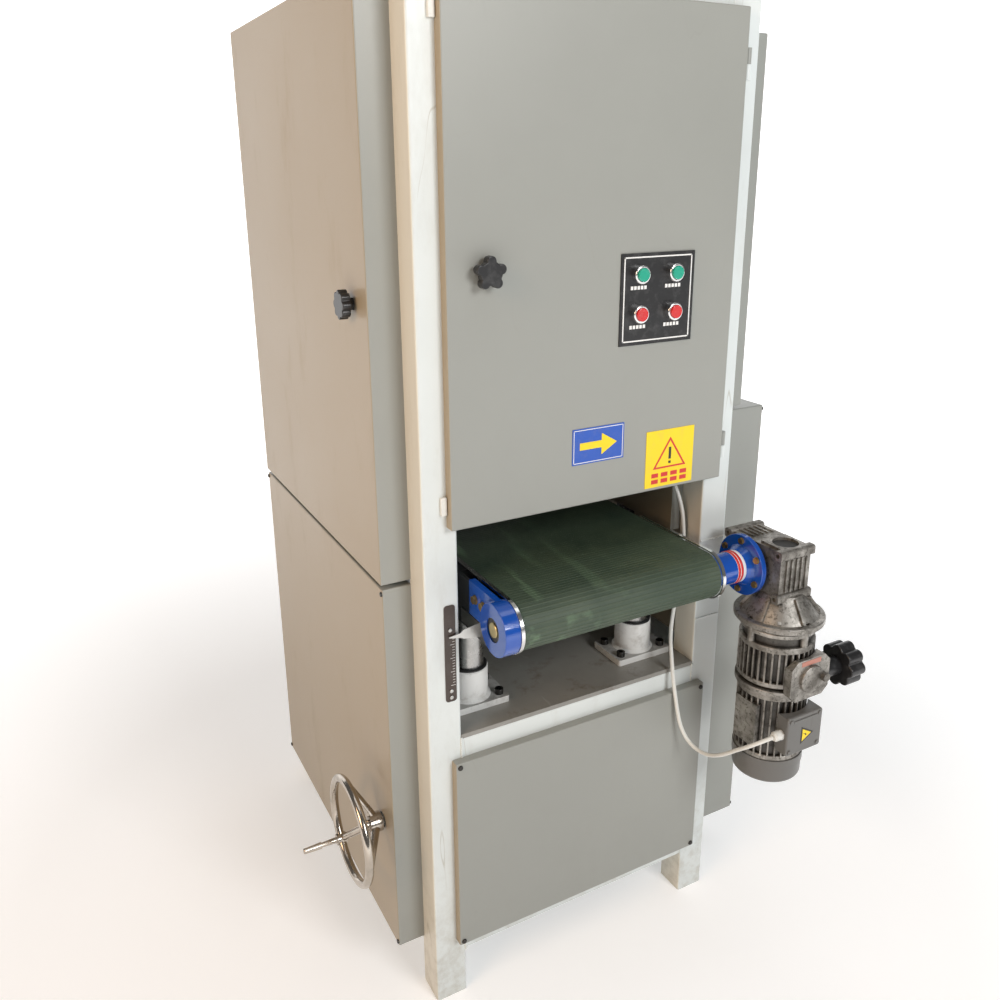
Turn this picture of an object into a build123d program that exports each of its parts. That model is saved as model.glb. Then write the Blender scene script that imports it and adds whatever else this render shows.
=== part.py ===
from build123d import *
import math
import os

# Through-feed drum sander. Millimetres, x across the feed, y along the feed, z up.
# The construction frame has its zero at the outer left front corner of the posts, on the floor.
# Export moves everything so that the origin is the middle of the machine's footprint box.

# ---- welded frame ----
FRAME_WIDTH = 620
FRAME_DEPTH = 800
FRAME_HEIGHT = 1740
TUBE = 60
TUBE_WALL = 3
TUBE_CORNER = 4
FOOT_PLATE = 6
BASE_RAIL_BOTTOM = 95
DECK_TOP = 549
DECK_THICKNESS = 8
HEAD_RAIL_BOTTOM = 840
HEADER_BOTTOM = 935
MOTOR_RAIL_HEIGHT = 40
MOTOR_RAIL_WIDTH = 40

# ---- sheet covers ----
SHEET = 2
FOLD = 2.6
FRONT_COVER_INSET = 41
FRONT_COVER_PROUD = 16
LOWER_PANEL_BOTTOM = 122
LOWER_PANEL_TOP = 505
SIDE_COVER_INSET = 53
LEFT_COVER_DEPTH = 50
SIDE_COVER_BOTTOM = 105
LEFT_COVER_TOP = 821
GUARD_DEPTH = 125
GUARD_TOP = 1028
COVER_SCREW_INSET = 8
SIDE_SCREW_INSET = 4
COVER_SEAM = 8
BRACKET_LENGTH = 34

# ---- doors ----
DOOR_BOTTOM = 929
FRONT_DOOR_TOP_GAP = 33
FRONT_DOOR_DEPTH = 18
LEFT_DOOR_DEPTH = 52
RIGHT_DOOR_DEPTH = 68
RIGHT_DOOR_BOTTOM = 1035
RIGHT_DOOR_TOP = 1683
SIDE_DOOR_TOP_GAP = 15
HINGE_RADIUS = 6
HINGE_PIN_RADIUS = 4
HINGE_FIT = 0.08
HINGE_HALF = 24
HINGE_GAP = 1
HINGE_END_MARGIN = 59
KNOB_SETBACK = 62
KNOB_STEM_RADIUS = 5
KNOB_STEM_CLEARANCE = 0.6
LATCH_REACH = 42
FRONT_KNOB_Z = 1322
FRONT_KNOB_X = 105
SIDE_KNOB_Z = 1272

# ---- control plate, buttons and signs on the front door ----
PLATE_X = 346
PLATE_Z = 1190
PLATE_SIZE = 147
PLATE_THICKNESS = 2
BUTTON_X = (381, 449.5)
BUTTON_Z = (1304, 1241)
BUTTON_RADIUS = 10.9
BEZEL_RADIUS = 14.75
BUTTON_TRAVEL = 3.5
SIGN_THICKNESS = 1
SIGN_BOX = (261, 363, 1001, 1062)
WARNING_BOX = (411, 514, 935, 1037)

# ---- conveyor table ----
BED_OFFSET = 7
BELT_MARGIN = 115
BELT_THICKNESS = 2.7
BELT_GAP = 0.3
ROLLER_RADIUS = 38
ROLLER_OVERHANG = 90
ROLLER_Z = 785
JOURNAL_RADIUS = 12.5
BEARING_FIT = 0.05
BED_SLAB = 10
BED_SIDE = 6
BED_SIDE_GAP = 7
BED_SIDE_BOTTOM = 722
CROSSBAR_HEIGHT = 15
CROSSBAR_WIDTH = 70
ARM_BOSS_RADIUS = 43.5
ARM_BOSS_THICKNESS = 27
ARM_PLATE = 11
ARM_REACH = 100
ARM_BEARING_RADIUS = 21.5
ARM_BEARING_WIDTH = 14
STRAP_THICKNESS = 2.5
COLUMN_INSET = 13.5
ROD_RADIUS = 27.5
ROD_FIT = 0.06
SLEEVE_RADIUS = 35
SLEEVE_TOP = 620
COLUMN_GAP = 7.5
FLANGE_THICKNESS = 12
FLANGE_X = 61
FLANGE_Y = 44
FLANGE_BOLT_X = 47
FLANGE_BOLT_Y = 28
ROD_STICK_OUT = 21
LIFT_UP = 50
LIFT_DOWN = 90

# ---- drive unit on the right of the front roller ----
BRACKET_TUBE_RADIUS = 29
BRACKET_FLANGE_RADIUS = 55.6
BRACKET_FLANGE = 10
GEARBOX_LEFT = 587
WORM_OFFSET_X = 45
WORM_CENTRES = 50
GEARBOX_HALF = 50
GEARBOX_WIDTH = 84
MOTOR_FLANGE_RADIUS = 80
MOTOR_FLANGE_Z = 693
VARIATOR_RADIUS = 67
MOTOR_RADIUS = 64
MOTOR_BOTTOM = 380
FAN_COVER_TOP = 429
VARIATOR_BOTTOM = 565
LID_THICKNESS = 6
KNOB_AXIS_Y = -190
KNOB_AXIS_Z = 588
CONTROL_RIGHT = 58
SPEED_KNOB_RADIUS = 40
SPEED_KNOB_NECK = 38
SPEED_KNOB_THICKNESS = 36
SPEED_KNOB_GAP = 0.5

# ---- lifting gear ----
WHEEL_Y = 107
WHEEL_Z = 345
WHEEL_RADIUS = 92
WHEEL_TUBE_RADIUS = 7.5
WHEEL_PLANE = 60
WHEEL_SHAFT_RADIUS = 10
HANDLE_LENGTH = 72
HUB_SETBACK = 17
HUB_OUT = 10
HUB_CAP = 1
SCREW_RADIUS = 12
BEVEL_RADIUS = 30
BEVEL_GAP = 0.4
NUT_DEPTH = 15
SCREW_STICK_OUT = 5
LIFT_SHAFT_RADIUS = 9

# ---- sanding head ----
LOWEST_OPENING = 2
DRUM_RADIUS = 75
ABRASIVE = 2
DRUM_WIDTH = 396
DRUM_SHAFT_RADIUS = 15
CHEEK_THICKNESS = 20
CHEEK_BOTTOM = 805
CHEEK_TOP = 1120
BEARING_HOUSING = 90
BEARING_HOUSING_DEPTH = 16
HOLD_ROLLER_RADIUS = 20
HOLD_ROLLER_OFFSET = 115
HOLD_JOURNAL_RADIUS = 8
HOOD_HALF_DEPTH = 88
HOOD_BOTTOM = 905
DUCT_RADIUS = 50
DUCT_LENGTH = 50
DUCT_WALL = 2
SPIGOT_LENGTH = 45
SPIGOT_STEP = 1.5
MAIN_MOTOR_RADIUS = 100
MAIN_MOTOR_Y = 560
MAIN_MOTOR_HEIGHT = 112
MAIN_SHAFT_RADIUS = 14
DRUM_PULLEY_RADIUS = 56
MOTOR_PULLEY_RADIUS = 70
PULLEY_WIDTH = 60
V_BELTS = 3
V_BELT_WIDTH = 13
V_BELT_HEIGHT = 8
V_BELT_PITCH = 18

# ---- scale and pointer ----
SCALE_X = 42.5
SCALE_WIDTH = 19.7
SCALE_BOTTOM = 620
SCALE_TOP = 796
POINTER_Z = 741

# ---- motor cable ----
CABLE_RADIUS = 3.75
CABLE_POINTS = [
    (577, -204, 494),
    (544, -190, 480),
    (538, -155, 450),
    (537, -121, 418),
    (533, -83, 396),
    (524, -45, 403),
    (512, -30, 438),
    (505, -25, 483),
    (501, -17, 531),
    (503, -6, 573),
    (511, 11, 611),
    (525, 24, 650),
    (540, 30, 697),
    (548, 32, 752),
    (550, 34, 812),
    (545, 40, 868),
    (532, 60, 920),
    (514, 80, 964),
    (507, 91, 1004),
    (518, 97, 1039),
    (551, 99, 1053),
]

# ---- worked-out places ----
BELT_CENTRE = FRAME_WIDTH / 2 - BED_OFFSET
BELT_WIDTH = FRAME_WIDTH - 2 * BELT_MARGIN
BELT_LEFT = BELT_CENTRE - BELT_WIDTH / 2
BELT_RIGHT = BELT_CENTRE + BELT_WIDTH / 2
BELT_INNER = ROLLER_RADIUS + BELT_GAP
BELT_OUTER = BELT_INNER + BELT_THICKNESS
BELT_TOP = ROLLER_Z + BELT_OUTER
FRONT_ROLLER_Y = -ROLLER_OVERHANG
REAR_ROLLER_Y = FRAME_DEPTH + ROLLER_OVERHANG
MIDDLE_Y = FRAME_DEPTH / 2
BED_LEFT = BELT_LEFT - BED_SIDE_GAP - BED_SIDE
BED_RIGHT = BELT_RIGHT + BED_SIDE_GAP + BED_SIDE
BED_END = ROLLER_RADIUS + 7
COLUMN_X = (BELT_LEFT + COLUMN_INSET, BELT_RIGHT - COLUMN_INSET)
COLUMN_FRONT_Y = TUBE + COLUMN_GAP + ROD_RADIUS
COLUMN_Y = (COLUMN_FRONT_Y, FRAME_DEPTH - COLUMN_FRONT_Y)
CROSSBAR_TOP = BED_SIDE_BOTTOM + CROSSBAR_HEIGHT
ROD_BOTTOM = DECK_TOP - DECK_THICKNESS - ROD_STICK_OUT - LIFT_UP
NUT_BOTTOM = WHEEL_Z - BEVEL_RADIUS - NUT_DEPTH
SCREW_BOTTOM = NUT_BOTTOM - SCREW_STICK_OUT - LIFT_UP
OPENING_AT_REST = LOWEST_OPENING + LIFT_UP
DRUM_Z = BELT_TOP + OPENING_AT_REST + DRUM_RADIUS
HOLD_ROLLER_Z = BELT_TOP + OPENING_AT_REST + HOLD_ROLLER_RADIUS
CHEEK_LEFT = TUBE
CHEEK_RIGHT = FRAME_WIDTH - TUBE - CHEEK_THICKNESS
LIFT_X = BELT_CENTRE
FRONT_DOOR_TOP = FRAME_HEIGHT - FRONT_DOOR_TOP_GAP
FRONT_DOOR_RIGHT = FRAME_WIDTH - FRONT_COVER_INSET + 2
FRONT_DOOR_LEFT = FRONT_COVER_INSET + 1
SIDE_DOOR_TOP = FRAME_HEIGHT - SIDE_DOOR_TOP_GAP
SIDE_DOOR_BOTTOM = LEFT_COVER_TOP + COVER_SEAM
SIDE_FRONT = SIDE_COVER_INSET
SIDE_REAR = FRAME_DEPTH - SIDE_COVER_INSET
FRONT_HINGE = (FRONT_DOOR_RIGHT + HINGE_RADIUS + 1, -FRONT_DOOR_DEPTH / 2)
LEFT_HINGE = (-HINGE_RADIUS - 4, SIDE_REAR + HINGE_RADIUS + 1)
RIGHT_HINGE = (FRAME_WIDTH + HINGE_RADIUS + 4, SIDE_REAR + HINGE_RADIUS + 1)
SIDE_KNOB_Y = SIDE_FRONT + KNOB_SETBACK
WORM_X = GEARBOX_LEFT + WORM_OFFSET_X
WORM_Y = FRONT_ROLLER_Y - WORM_CENTRES
GEARBOX_RIGHT = GEARBOX_LEFT + GEARBOX_WIDTH
MAIN_MOTOR_Z = BASE_RAIL_BOTTOM + TUBE + MAIN_MOTOR_HEIGHT
PULLEY_START = FRAME_WIDTH + 34
JOURNAL_BORE = JOURNAL_RADIUS + BEARING_FIT
SPEED_KNOB_END = WORM_X + CONTROL_RIGHT + 6 + SPEED_KNOB_GAP + SPEED_KNOB_NECK + SPEED_KNOB_THICKNESS
CENTRE_X = (-LEFT_COVER_DEPTH - WHEEL_PLANE - HANDLE_LENGTH + SPEED_KNOB_END) / 2
CENTRE_Y = (REAR_ROLLER_Y + BELT_OUTER + 1 + STRAP_THICKNESS + KNOB_AXIS_Y - SPEED_KNOB_RADIUS) / 2

nodes = {}


def keep(name, *solids):
    """Store the solids of one named sub-part."""
    nodes[name] = list(solids)


def block(x0, x1, y0, y1, z0, z1):
    """Rectangular solid between two corners."""
    return Pos((x0 + x1) / 2, (y0 + y1) / 2, (z0 + z1) / 2) * Box(x1 - x0, y1 - y0, z1 - z0)


def bar(axis, centre, radius, start, end, end_radius=None):
    """Round bar along an axis; centre is its place on the two other axes, in x, y, z order."""
    length = end - start
    middle = (start + end) / 2
    if end_radius is None:
        body = Cylinder(radius, length)
    else:
        body = Cone(radius, end_radius, length)
    if axis == "x":
        return Pos(middle, centre[0], centre[1]) * Rot(0, 90, 0) * body
    if axis == "y":
        return Pos(centre[0], middle, centre[1]) * Rot(-90, 0, 0) * body
    return Pos(centre[0], centre[1], middle) * body


def tube(axis, centre, outer, inner, start, end):
    """Round tube along an axis."""
    return bar(axis, centre, outer, start, end) - bar(axis, centre, inner, start - 1, end + 1)


def square_tube(axis, x0, x1, y0, y1, z0, z1):
    """Rectangular hollow section with rounded corners, open at both ends."""
    along = {"x": Axis.X, "y": Axis.Y, "z": Axis.Z}[axis]
    outer = block(x0, x1, y0, y1, z0, z1)
    outer = fillet(outer.edges().filter_by(along), TUBE_CORNER)
    wall = [0 if name == axis else TUBE_WALL for name in "xyz"]
    over = [1 if name == axis else 0 for name in "xyz"]
    inner = block(
        x0 + wall[0] - over[0], x1 - wall[0] + over[0],
        y0 + wall[1] - over[1], y1 - wall[1] + over[1],
        z0 + wall[2] - over[2], z1 - wall[2] + over[2],
    )
    return outer - inner


def pan(x0, x1, y0, y1, z0, z1, side, sign):
    """Folded sheet pan that is open on one side: side is the axis, sign its direction."""
    along = {"x": Axis.X, "y": Axis.Y, "z": Axis.Z}[side]
    outer = block(x0, x1, y0, y1, z0, z1)
    folds = outer.edges().filter_by(along)
    face = outer.faces().sort_by(along)[0 if sign > 0 else -1]
    outer = fillet(folds + face.edges(), FOLD)
    low = [x0 + SHEET, y0 + SHEET, z0 + SHEET]
    high = [x1 - SHEET, y1 - SHEET, z1 - SHEET]
    index = "xyz".index(side)
    if sign > 0:
        high[index] += 2 * SHEET
    else:
        low[index] -= 2 * SHEET
    return outer - block(low[0], high[0], low[1], high[1], low[2], high[2])


def pan_screw(axis, centre, face, direction, length):
    """Round-headed screw: the head stands on the face and the shank goes the other way."""
    head = 2.6 * direction
    ends = sorted((face, face + head))
    screw = bar(axis, centre, 4.6, ends[0], ends[1])
    screw = fillet(screw.edges().group_by({"x": Axis.X, "y": Axis.Y}[axis])[-1 if direction > 0 else 0], 1.4)
    ends = sorted((face - length * direction, face))
    return screw + bar(axis, centre, 2.5, ends[0], ends[1])


def hole(axis, centre, radius, start, end):
    """Round cutter."""
    return bar(axis, centre, radius, start, end)


def loop(axis_x0, axis_x1, first, second, radius_first, radius_second):
    """Solid plate round two circles in the y-z plane, joined by their outer tangents."""
    circles = Pos(first[0], first[1]) * Circle(radius_first)
    circles += Pos(second[0], second[1]) * Circle(radius_second)
    hull = Plane.YZ * make_hull(circles.edges())
    return Pos(axis_x0, 0, 0) * extrude(hull, axis_x1 - axis_x0, dir=(1, 0, 0))


# ---------------------------------------------------------------- frame
def corner_posts():
    """Four square-tube legs; the front ones take the lower panel's screws."""
    posts = []
    for x in (0, FRAME_WIDTH - TUBE):
        for y in (0, FRAME_DEPTH - TUBE):
            post = block(x, x + TUBE, y, y + TUBE, 0, FRAME_HEIGHT)
            post = fillet(post.edges().filter_by(Axis.Z), TUBE_CORNER)
            post -= block(
                x + TUBE_WALL, x + TUBE - TUBE_WALL, y + TUBE_WALL, y + TUBE - TUBE_WALL,
                FOOT_PLATE, FRAME_HEIGHT + 1,
            )
            for sx, z in panel_screw_places():
                if x < sx < x + TUBE:
                    post -= hole("y", (sx, z), 2.8, y - 1, y + TUBE_WALL + 1)
                    post -= hole("y", (sx, z), 2.8, y + TUBE - TUBE_WALL - 1, y + TUBE + 1)
            posts.append(post)
    return posts


def frame_rails():
    """Base, deck, head and top rails, and the two rails that carry the main motor."""
    right = FRAME_WIDTH - TUBE
    rear = FRAME_DEPTH - TUBE
    deck = DECK_TOP - DECK_THICKNESS - TUBE
    rails = []
    for z in (BASE_RAIL_BOTTOM, deck, FRAME_HEIGHT - TUBE):
        for y in (0, rear):
            rails.append(square_tube("x", TUBE, right, y, y + TUBE, z, z + TUBE))
        for x in (0, right):
            rails.append(square_tube("y", x, x + TUBE, TUBE, rear, z, z + TUBE))
    for y in (0, rear):
        rails.append(square_tube("x", TUBE, right, y, y + TUBE, HEADER_BOTTOM, HEADER_BOTTOM + TUBE))
    for x in (0, right):
        rails.append(square_tube("y", x, x + TUBE, TUBE, rear, HEAD_RAIL_BOTTOM, HEAD_RAIL_BOTTOM + TUBE))
    top = BASE_RAIL_BOTTOM + TUBE
    for y in (MAIN_MOTOR_Y - 85, MAIN_MOTOR_Y + 45):
        rails.append(square_tube("x", TUBE, right, y, y + MOTOR_RAIL_WIDTH, top - MOTOR_RAIL_HEIGHT, top))
    return rails


def columns():
    """Centres of the four lifting columns."""
    return [(x, y) for x in COLUMN_X for y in COLUMN_Y]


def flange_bolt_places():
    """Centres of the sixteen bolts of the column sleeves."""
    return [
        (x + dx, y + dy)
        for x, y in columns()
        for dx in (-FLANGE_BOLT_X, FLANGE_BOLT_X)
        for dy in (-FLANGE_BOLT_Y, FLANGE_BOLT_Y)
    ]


def deck_plate():
    """Deck between the posts, with holes for the rods, the sleeve bolts and the lifting screw."""
    deck = block(TUBE, FRAME_WIDTH - TUBE, 0, FRAME_DEPTH, DECK_TOP - DECK_THICKNESS, DECK_TOP)
    for centre in columns():
        deck -= hole("z", centre, ROD_RADIUS + 1, DECK_TOP - 50, DECK_TOP + 1)
    for centre in flange_bolt_places():
        deck -= hole("z", centre, 5.2, DECK_TOP - 50, DECK_TOP + 1)
    deck -= hole("z", (LIFT_X, MIDDLE_Y), SCREW_RADIUS + 4, DECK_TOP - 50, DECK_TOP + 1)
    return deck


def column_sleeves():
    """Flanged guide sleeves bolted on the deck; the rods slide in them."""
    sleeves = []
    for x, y in columns():
        base = DECK_TOP + FLANGE_THICKNESS
        plate = block(x - FLANGE_X, x + FLANGE_X, y - FLANGE_Y, y + FLANGE_Y, DECK_TOP, base)
        plate = fillet(plate.edges().filter_by(Axis.Z), 5)
        sleeve = plate + bar("z", (x, y), SLEEVE_RADIUS, DECK_TOP, SLEEVE_TOP)
        sleeve += bar("z", (x, y), SLEEVE_RADIUS + 5, base, base + 5, SLEEVE_RADIUS)
        rim = sleeve.edges().group_by(Axis.Z)[-1]
        sleeve = chamfer(rim, 1.5)
        sleeve -= hole("z", (x, y), ROD_RADIUS + ROD_FIT, DECK_TOP - 1, SLEEVE_TOP + 1)
        for dx in (-FLANGE_BOLT_X, FLANGE_BOLT_X):
            for dy in (-FLANGE_BOLT_Y, FLANGE_BOLT_Y):
                sleeve -= hole("z", (x + dx, y + dy), 5.2, DECK_TOP - 1, DECK_TOP + 20)
        sleeves.append(sleeve)
    return sleeves


def panel_screw_places():
    """x and z of the screws of the lower front and rear panels."""
    left = FRONT_COVER_INSET + COVER_SCREW_INSET
    right = FRAME_WIDTH - left
    low = LOWER_PANEL_BOTTOM + COVER_SCREW_INSET
    high = LOWER_PANEL_TOP - COVER_SCREW_INSET
    return [(x, z) for x in (left, right) for z in (low, high)]


def side_screw_places(bottom, top):
    """y and z of the four screws of a side cover."""
    near = SIDE_FRONT + SIDE_SCREW_INSET
    far = SIDE_REAR - SIDE_SCREW_INSET
    low = bottom + COVER_SCREW_INSET
    high = top - COVER_SCREW_INSET
    return [(y, z) for y in (near, far) for z in (low, high)]


def side_brackets():
    """Lugs on the posts that the side covers' screws go into."""
    lugs = []
    sides = ((-LEFT_COVER_DEPTH, 0, LEFT_COVER_TOP), (FRAME_WIDTH, FRAME_WIDTH + GUARD_DEPTH, GUARD_TOP))
    for x0, x1, top in sides:
        inner = (x0 + SHEET, x1) if x0 < 0 else (x0, x1 - SHEET)
        for y, z in side_screw_places(SIDE_COVER_BOTTOM, top):
            low, high = (y - 1.5, y + 3) if y < MIDDLE_Y else (y - 3, y + 1.5)
            lug = block(inner[0], inner[1], low, high, z - 5, z + BRACKET_LENGTH if z < 400 else z + 5)
            lug -= hole("x", (y, z), 0.9, inner[0] - 1, inner[1] + 1)
            lugs.append(lug)
    return lugs


def socket_bolt(x, y, face, length):
    """Socket-head bolt standing on a face, with a round-cornered head and a hexagon socket."""
    head = bar("z", (x, y), 8, face, face + 10)
    head = fillet(head.edges().group_by(Axis.Z)[-1], 1)
    head -= Pos(x, y, face + 5) * extrude(RegularPolygon(4.6, 6), 6)
    return head + bar("z", (x, y), 4.9, face - length, face)


def frame_screws():
    """Socket bolts of the sleeves, round-headed screws of the covers and the scale's rivets."""
    screws = []
    for x, y in flange_bolt_places():
        screws.append(socket_bolt(x, y, DECK_TOP + FLANGE_THICKNESS, FLANGE_THICKNESS + DECK_THICKNESS + 2))
    for x, z in panel_screw_places():
        screws.append(pan_screw("y", (x, z), -FRONT_COVER_PROUD, -1, FRONT_COVER_PROUD + TUBE_WALL + 2))
        rear = FRAME_DEPTH + FRONT_COVER_PROUD
        screws.append(pan_screw("y", (x, z), rear, 1, FRONT_COVER_PROUD + TUBE_WALL + 2))
    return screws


def scale_rivets():
    """Flat rivets that hold the scale plate."""
    rivets = []
    for z in (SCALE_BOTTOM + 8, SCALE_BOTTOM + 20, SCALE_TOP - 44):
        rivet = bar("y", (SCALE_X, z), 3, -2.7, -1.5)
        rivets.append(rivet + bar("y", (SCALE_X, z), 1.5, -1.5, 0))
    return rivets


def lower_front_panel():
    """Screwed pan under the deck."""
    right = FRAME_WIDTH - FRONT_COVER_INSET
    panel = pan(FRONT_COVER_INSET, right, -FRONT_COVER_PROUD, 0, LOWER_PANEL_BOTTOM, LOWER_PANEL_TOP, "y", 1)
    for x, z in panel_screw_places():
        panel -= hole("y", (x, z), 2.8, -FRONT_COVER_PROUD - 1, -FRONT_COVER_PROUD + SHEET + 1)
    return panel


def closing_panels():
    """Rear lower pan, rear upper pan with the dust outlet's hole, and the top sheet."""
    right = FRAME_WIDTH - FRONT_COVER_INSET
    rear = FRAME_DEPTH + FRONT_COVER_PROUD
    lower = pan(FRONT_COVER_INSET, right, FRAME_DEPTH, rear, LOWER_PANEL_BOTTOM, LOWER_PANEL_TOP, "y", -1)
    for x, z in panel_screw_places():
        lower -= hole("y", (x, z), 2.8, rear - SHEET - 1, rear + 1)
    upper = pan(FRONT_COVER_INSET, right, FRAME_DEPTH, rear, DOOR_BOTTOM, FRONT_DOOR_TOP, "y", -1)
    upper -= hole("y", (BELT_CENTRE, duct_z()), DUCT_RADIUS + 0.5, FRAME_DEPTH - 1, rear + 1)
    top = block(0, FRAME_WIDTH, 0, FRAME_DEPTH, FRAME_HEIGHT, FRAME_HEIGHT + SHEET)
    return lower, upper, top


def left_lower_cover():
    """Deep pan on the lower left side, with the handwheel shaft's hole."""
    cover = pan(-LEFT_COVER_DEPTH, 0, SIDE_FRONT, SIDE_REAR, SIDE_COVER_BOTTOM, LEFT_COVER_TOP, "x", 1)
    cover -= hole("x", (WHEEL_Y, WHEEL_Z), WHEEL_SHAFT_RADIUS + 4, -LEFT_COVER_DEPTH - 1, 1)
    for centre in side_screw_places(SIDE_COVER_BOTTOM, LEFT_COVER_TOP):
        cover -= hole("x", centre, 2.8, -LEFT_COVER_DEPTH - 1, -LEFT_COVER_DEPTH + SHEET + 1)
    return cover


def belt_guard():
    """Deep pan on the right side over the V-belts and pulleys."""
    outer = FRAME_WIDTH + GUARD_DEPTH
    guard = pan(FRAME_WIDTH, outer, SIDE_FRONT, SIDE_REAR, SIDE_COVER_BOTTOM, GUARD_TOP, "x", -1)
    for centre in side_screw_places(SIDE_COVER_BOTTOM, GUARD_TOP):
        guard -= hole("x", centre, 2.8, outer - SHEET - 1, outer + 1)
    return guard


def side_screws():
    """Self-tapping screws through the side covers into their lugs."""
    screws = []
    for y, z in side_screw_places(SIDE_COVER_BOTTOM, LEFT_COVER_TOP):
        screws.append(side_screw(y, z, -LEFT_COVER_DEPTH, -1))
    for y, z in side_screw_places(SIDE_COVER_BOTTOM, GUARD_TOP):
        screws.append(side_screw(y, z, FRAME_WIDTH + GUARD_DEPTH, 1))
    return screws


def side_screw(y, z, face, direction):
    """Round head on the cover and a thin tapping shank."""
    ends = sorted((face, face + 2.6 * direction))
    head = bar("x", (y, z), 4, ends[0], ends[1])
    head = fillet(head.edges().group_by(Axis.X)[-1 if direction > 0 else 0], 1.4)
    ends = sorted((face - 14 * direction, face))
    return head + bar("x", (y, z), 0.9, ends[0], ends[1])


def scale_plate():
    """Height scale with rounded ends on the left front post."""
    half = SCALE_WIDTH / 2
    plate = block(SCALE_X - half, SCALE_X + half, -1.5, 0, SCALE_BOTTOM, SCALE_TOP)
    plate = fillet(plate.edges().filter_by(Axis.Y), 5)
    for z in (SCALE_BOTTOM + 8, SCALE_BOTTOM + 20, SCALE_TOP - 44):
        plate -= hole("y", (SCALE_X, z), 1.5, -3, 1)
    return plate


def hinge_places():
    """Every hinge: its axis in x and y, the height where its halves meet, and where it is welded."""
    places = []
    for z in (DOOR_BOTTOM + HINGE_END_MARGIN, FRONT_DOOR_TOP - HINGE_END_MARGIN - HINGE_HALF):
        places.append(("front", FRONT_HINGE, z))
    for z in (SIDE_DOOR_BOTTOM + HINGE_END_MARGIN, SIDE_DOOR_TOP - HINGE_END_MARGIN - HINGE_HALF):
        places.append(("left", LEFT_HINGE, z))
    for z in (RIGHT_DOOR_BOTTOM + HINGE_END_MARGIN, RIGHT_DOOR_TOP - HINGE_END_MARGIN - HINGE_HALF):
        places.append(("right", RIGHT_HINGE, z))
    return places


def hinge_pin_half(which, centre, z):
    """Lower half welded to the frame, with the pin standing up from it."""
    x, y = centre
    low = z - HINGE_HALF
    half = bar("z", centre, HINGE_RADIUS, low, z - HINGE_GAP)
    half += bar("z", centre, HINGE_PIN_RADIUS, low, z + HINGE_HALF - 8)
    if which == "front":
        half += block(x - 3, x + 3, y, 0, low, z - HINGE_GAP)
    elif which == "left":
        half += block(x, 0, y - 3, y + 3, low, z - HINGE_GAP)
    else:
        half += block(FRAME_WIDTH, x, y - 3, y + 3, low, z - HINGE_GAP)
    return half


def hinge_sleeve_half(which, centre, z):
    """Upper half welded to the door, with a blind bore for the pin."""
    x, y = centre
    high = z + HINGE_HALF
    half = bar("z", centre, HINGE_RADIUS, z, high)
    if which == "front":
        half += block(FRONT_DOOR_RIGHT - 1, x, y - 2, y + 2, z, high)
    else:
        half += block(x - 2, x + 2, SIDE_REAR - 1, y, z, high)
    return half - hole("z", centre, HINGE_PIN_RADIUS + HINGE_FIT, z - 1, high - 4)


def catches():
    """Lugs that the door latches turn behind."""
    front = block(TUBE, TUBE + 20, 3, 7, FRONT_KNOB_Z - 12, FRONT_KNOB_Z + 12)
    left = block(5, 9, TUBE, TUBE + 22, SIDE_KNOB_Z - 12, SIDE_KNOB_Z + 12)
    inner = FRAME_WIDTH - 9
    right = block(inner, inner + 4, TUBE, TUBE + 22, SIDE_KNOB_Z - 12, SIDE_KNOB_Z + 12)
    return front, left, right


def door_hardware():
    """Frame halves of the hinges, latch catches and the side covers' lugs."""
    pieces = [hinge_pin_half(*place) for place in hinge_places()]
    return pieces + list(catches()) + side_brackets()


# ---------------------------------------------------------------- doors
def star_knob(radius, lobes, thickness, neck):
    """Lobed plastic head along +z, on a round neck that starts at z = 0."""
    lobe = radius * 0.30
    ring = radius - lobe
    outline = Circle(ring) + [Rot(0, 0, 360 / lobes * i) * Pos(ring, 0) * Circle(lobe) for i in range(lobes)]
    outline = fillet(outline.vertices(), lobe * 0.3)
    head = Pos(0, 0, neck) * extrude(outline, thickness)
    rims = head.edges().group_by(Axis.Z)
    head = fillet(rims[-1] + rims[0], lobe * 0.2)
    return head + Cylinder(radius * 0.42, neck + 2, align=(Align.CENTER, Align.CENTER, Align.MIN))


def latch_knob(radius, lobes, door_depth, latch_reach):
    """Door knob along +z from the door's face, its stem through the door and its latch bar."""
    knob = star_knob(radius, lobes, 14, 9)
    stem_end = -door_depth - 16
    knob += Cylinder(KNOB_STEM_RADIUS, -stem_end + 4, align=(Align.CENTER, Align.CENTER, Align.MAX)).moved(
        Location((0, 0, 4))
    )
    latch = block(-8, latch_reach, -8, 8, stem_end, stem_end + 4)
    return knob + latch


def front_door():
    """Upper front door pan with holes for the buttons and the latch stem, and its hinge sleeves."""
    depth = FRONT_DOOR_DEPTH
    door = pan(FRONT_DOOR_LEFT, FRONT_DOOR_RIGHT, -depth, 0, DOOR_BOTTOM, FRONT_DOOR_TOP, "y", 1)
    for x in BUTTON_X:
        for z in BUTTON_Z:
            door -= hole("y", (x, z), 11.1, -depth - 1, -depth + SHEET + 1)
    door -= hole("y", (FRONT_KNOB_X, FRONT_KNOB_Z), KNOB_STEM_RADIUS + KNOB_STEM_CLEARANCE, -depth - 1, 1)
    for which, centre, z in hinge_places():
        if which == "front":
            door += hinge_sleeve_half(which, centre, z)
    return door


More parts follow.
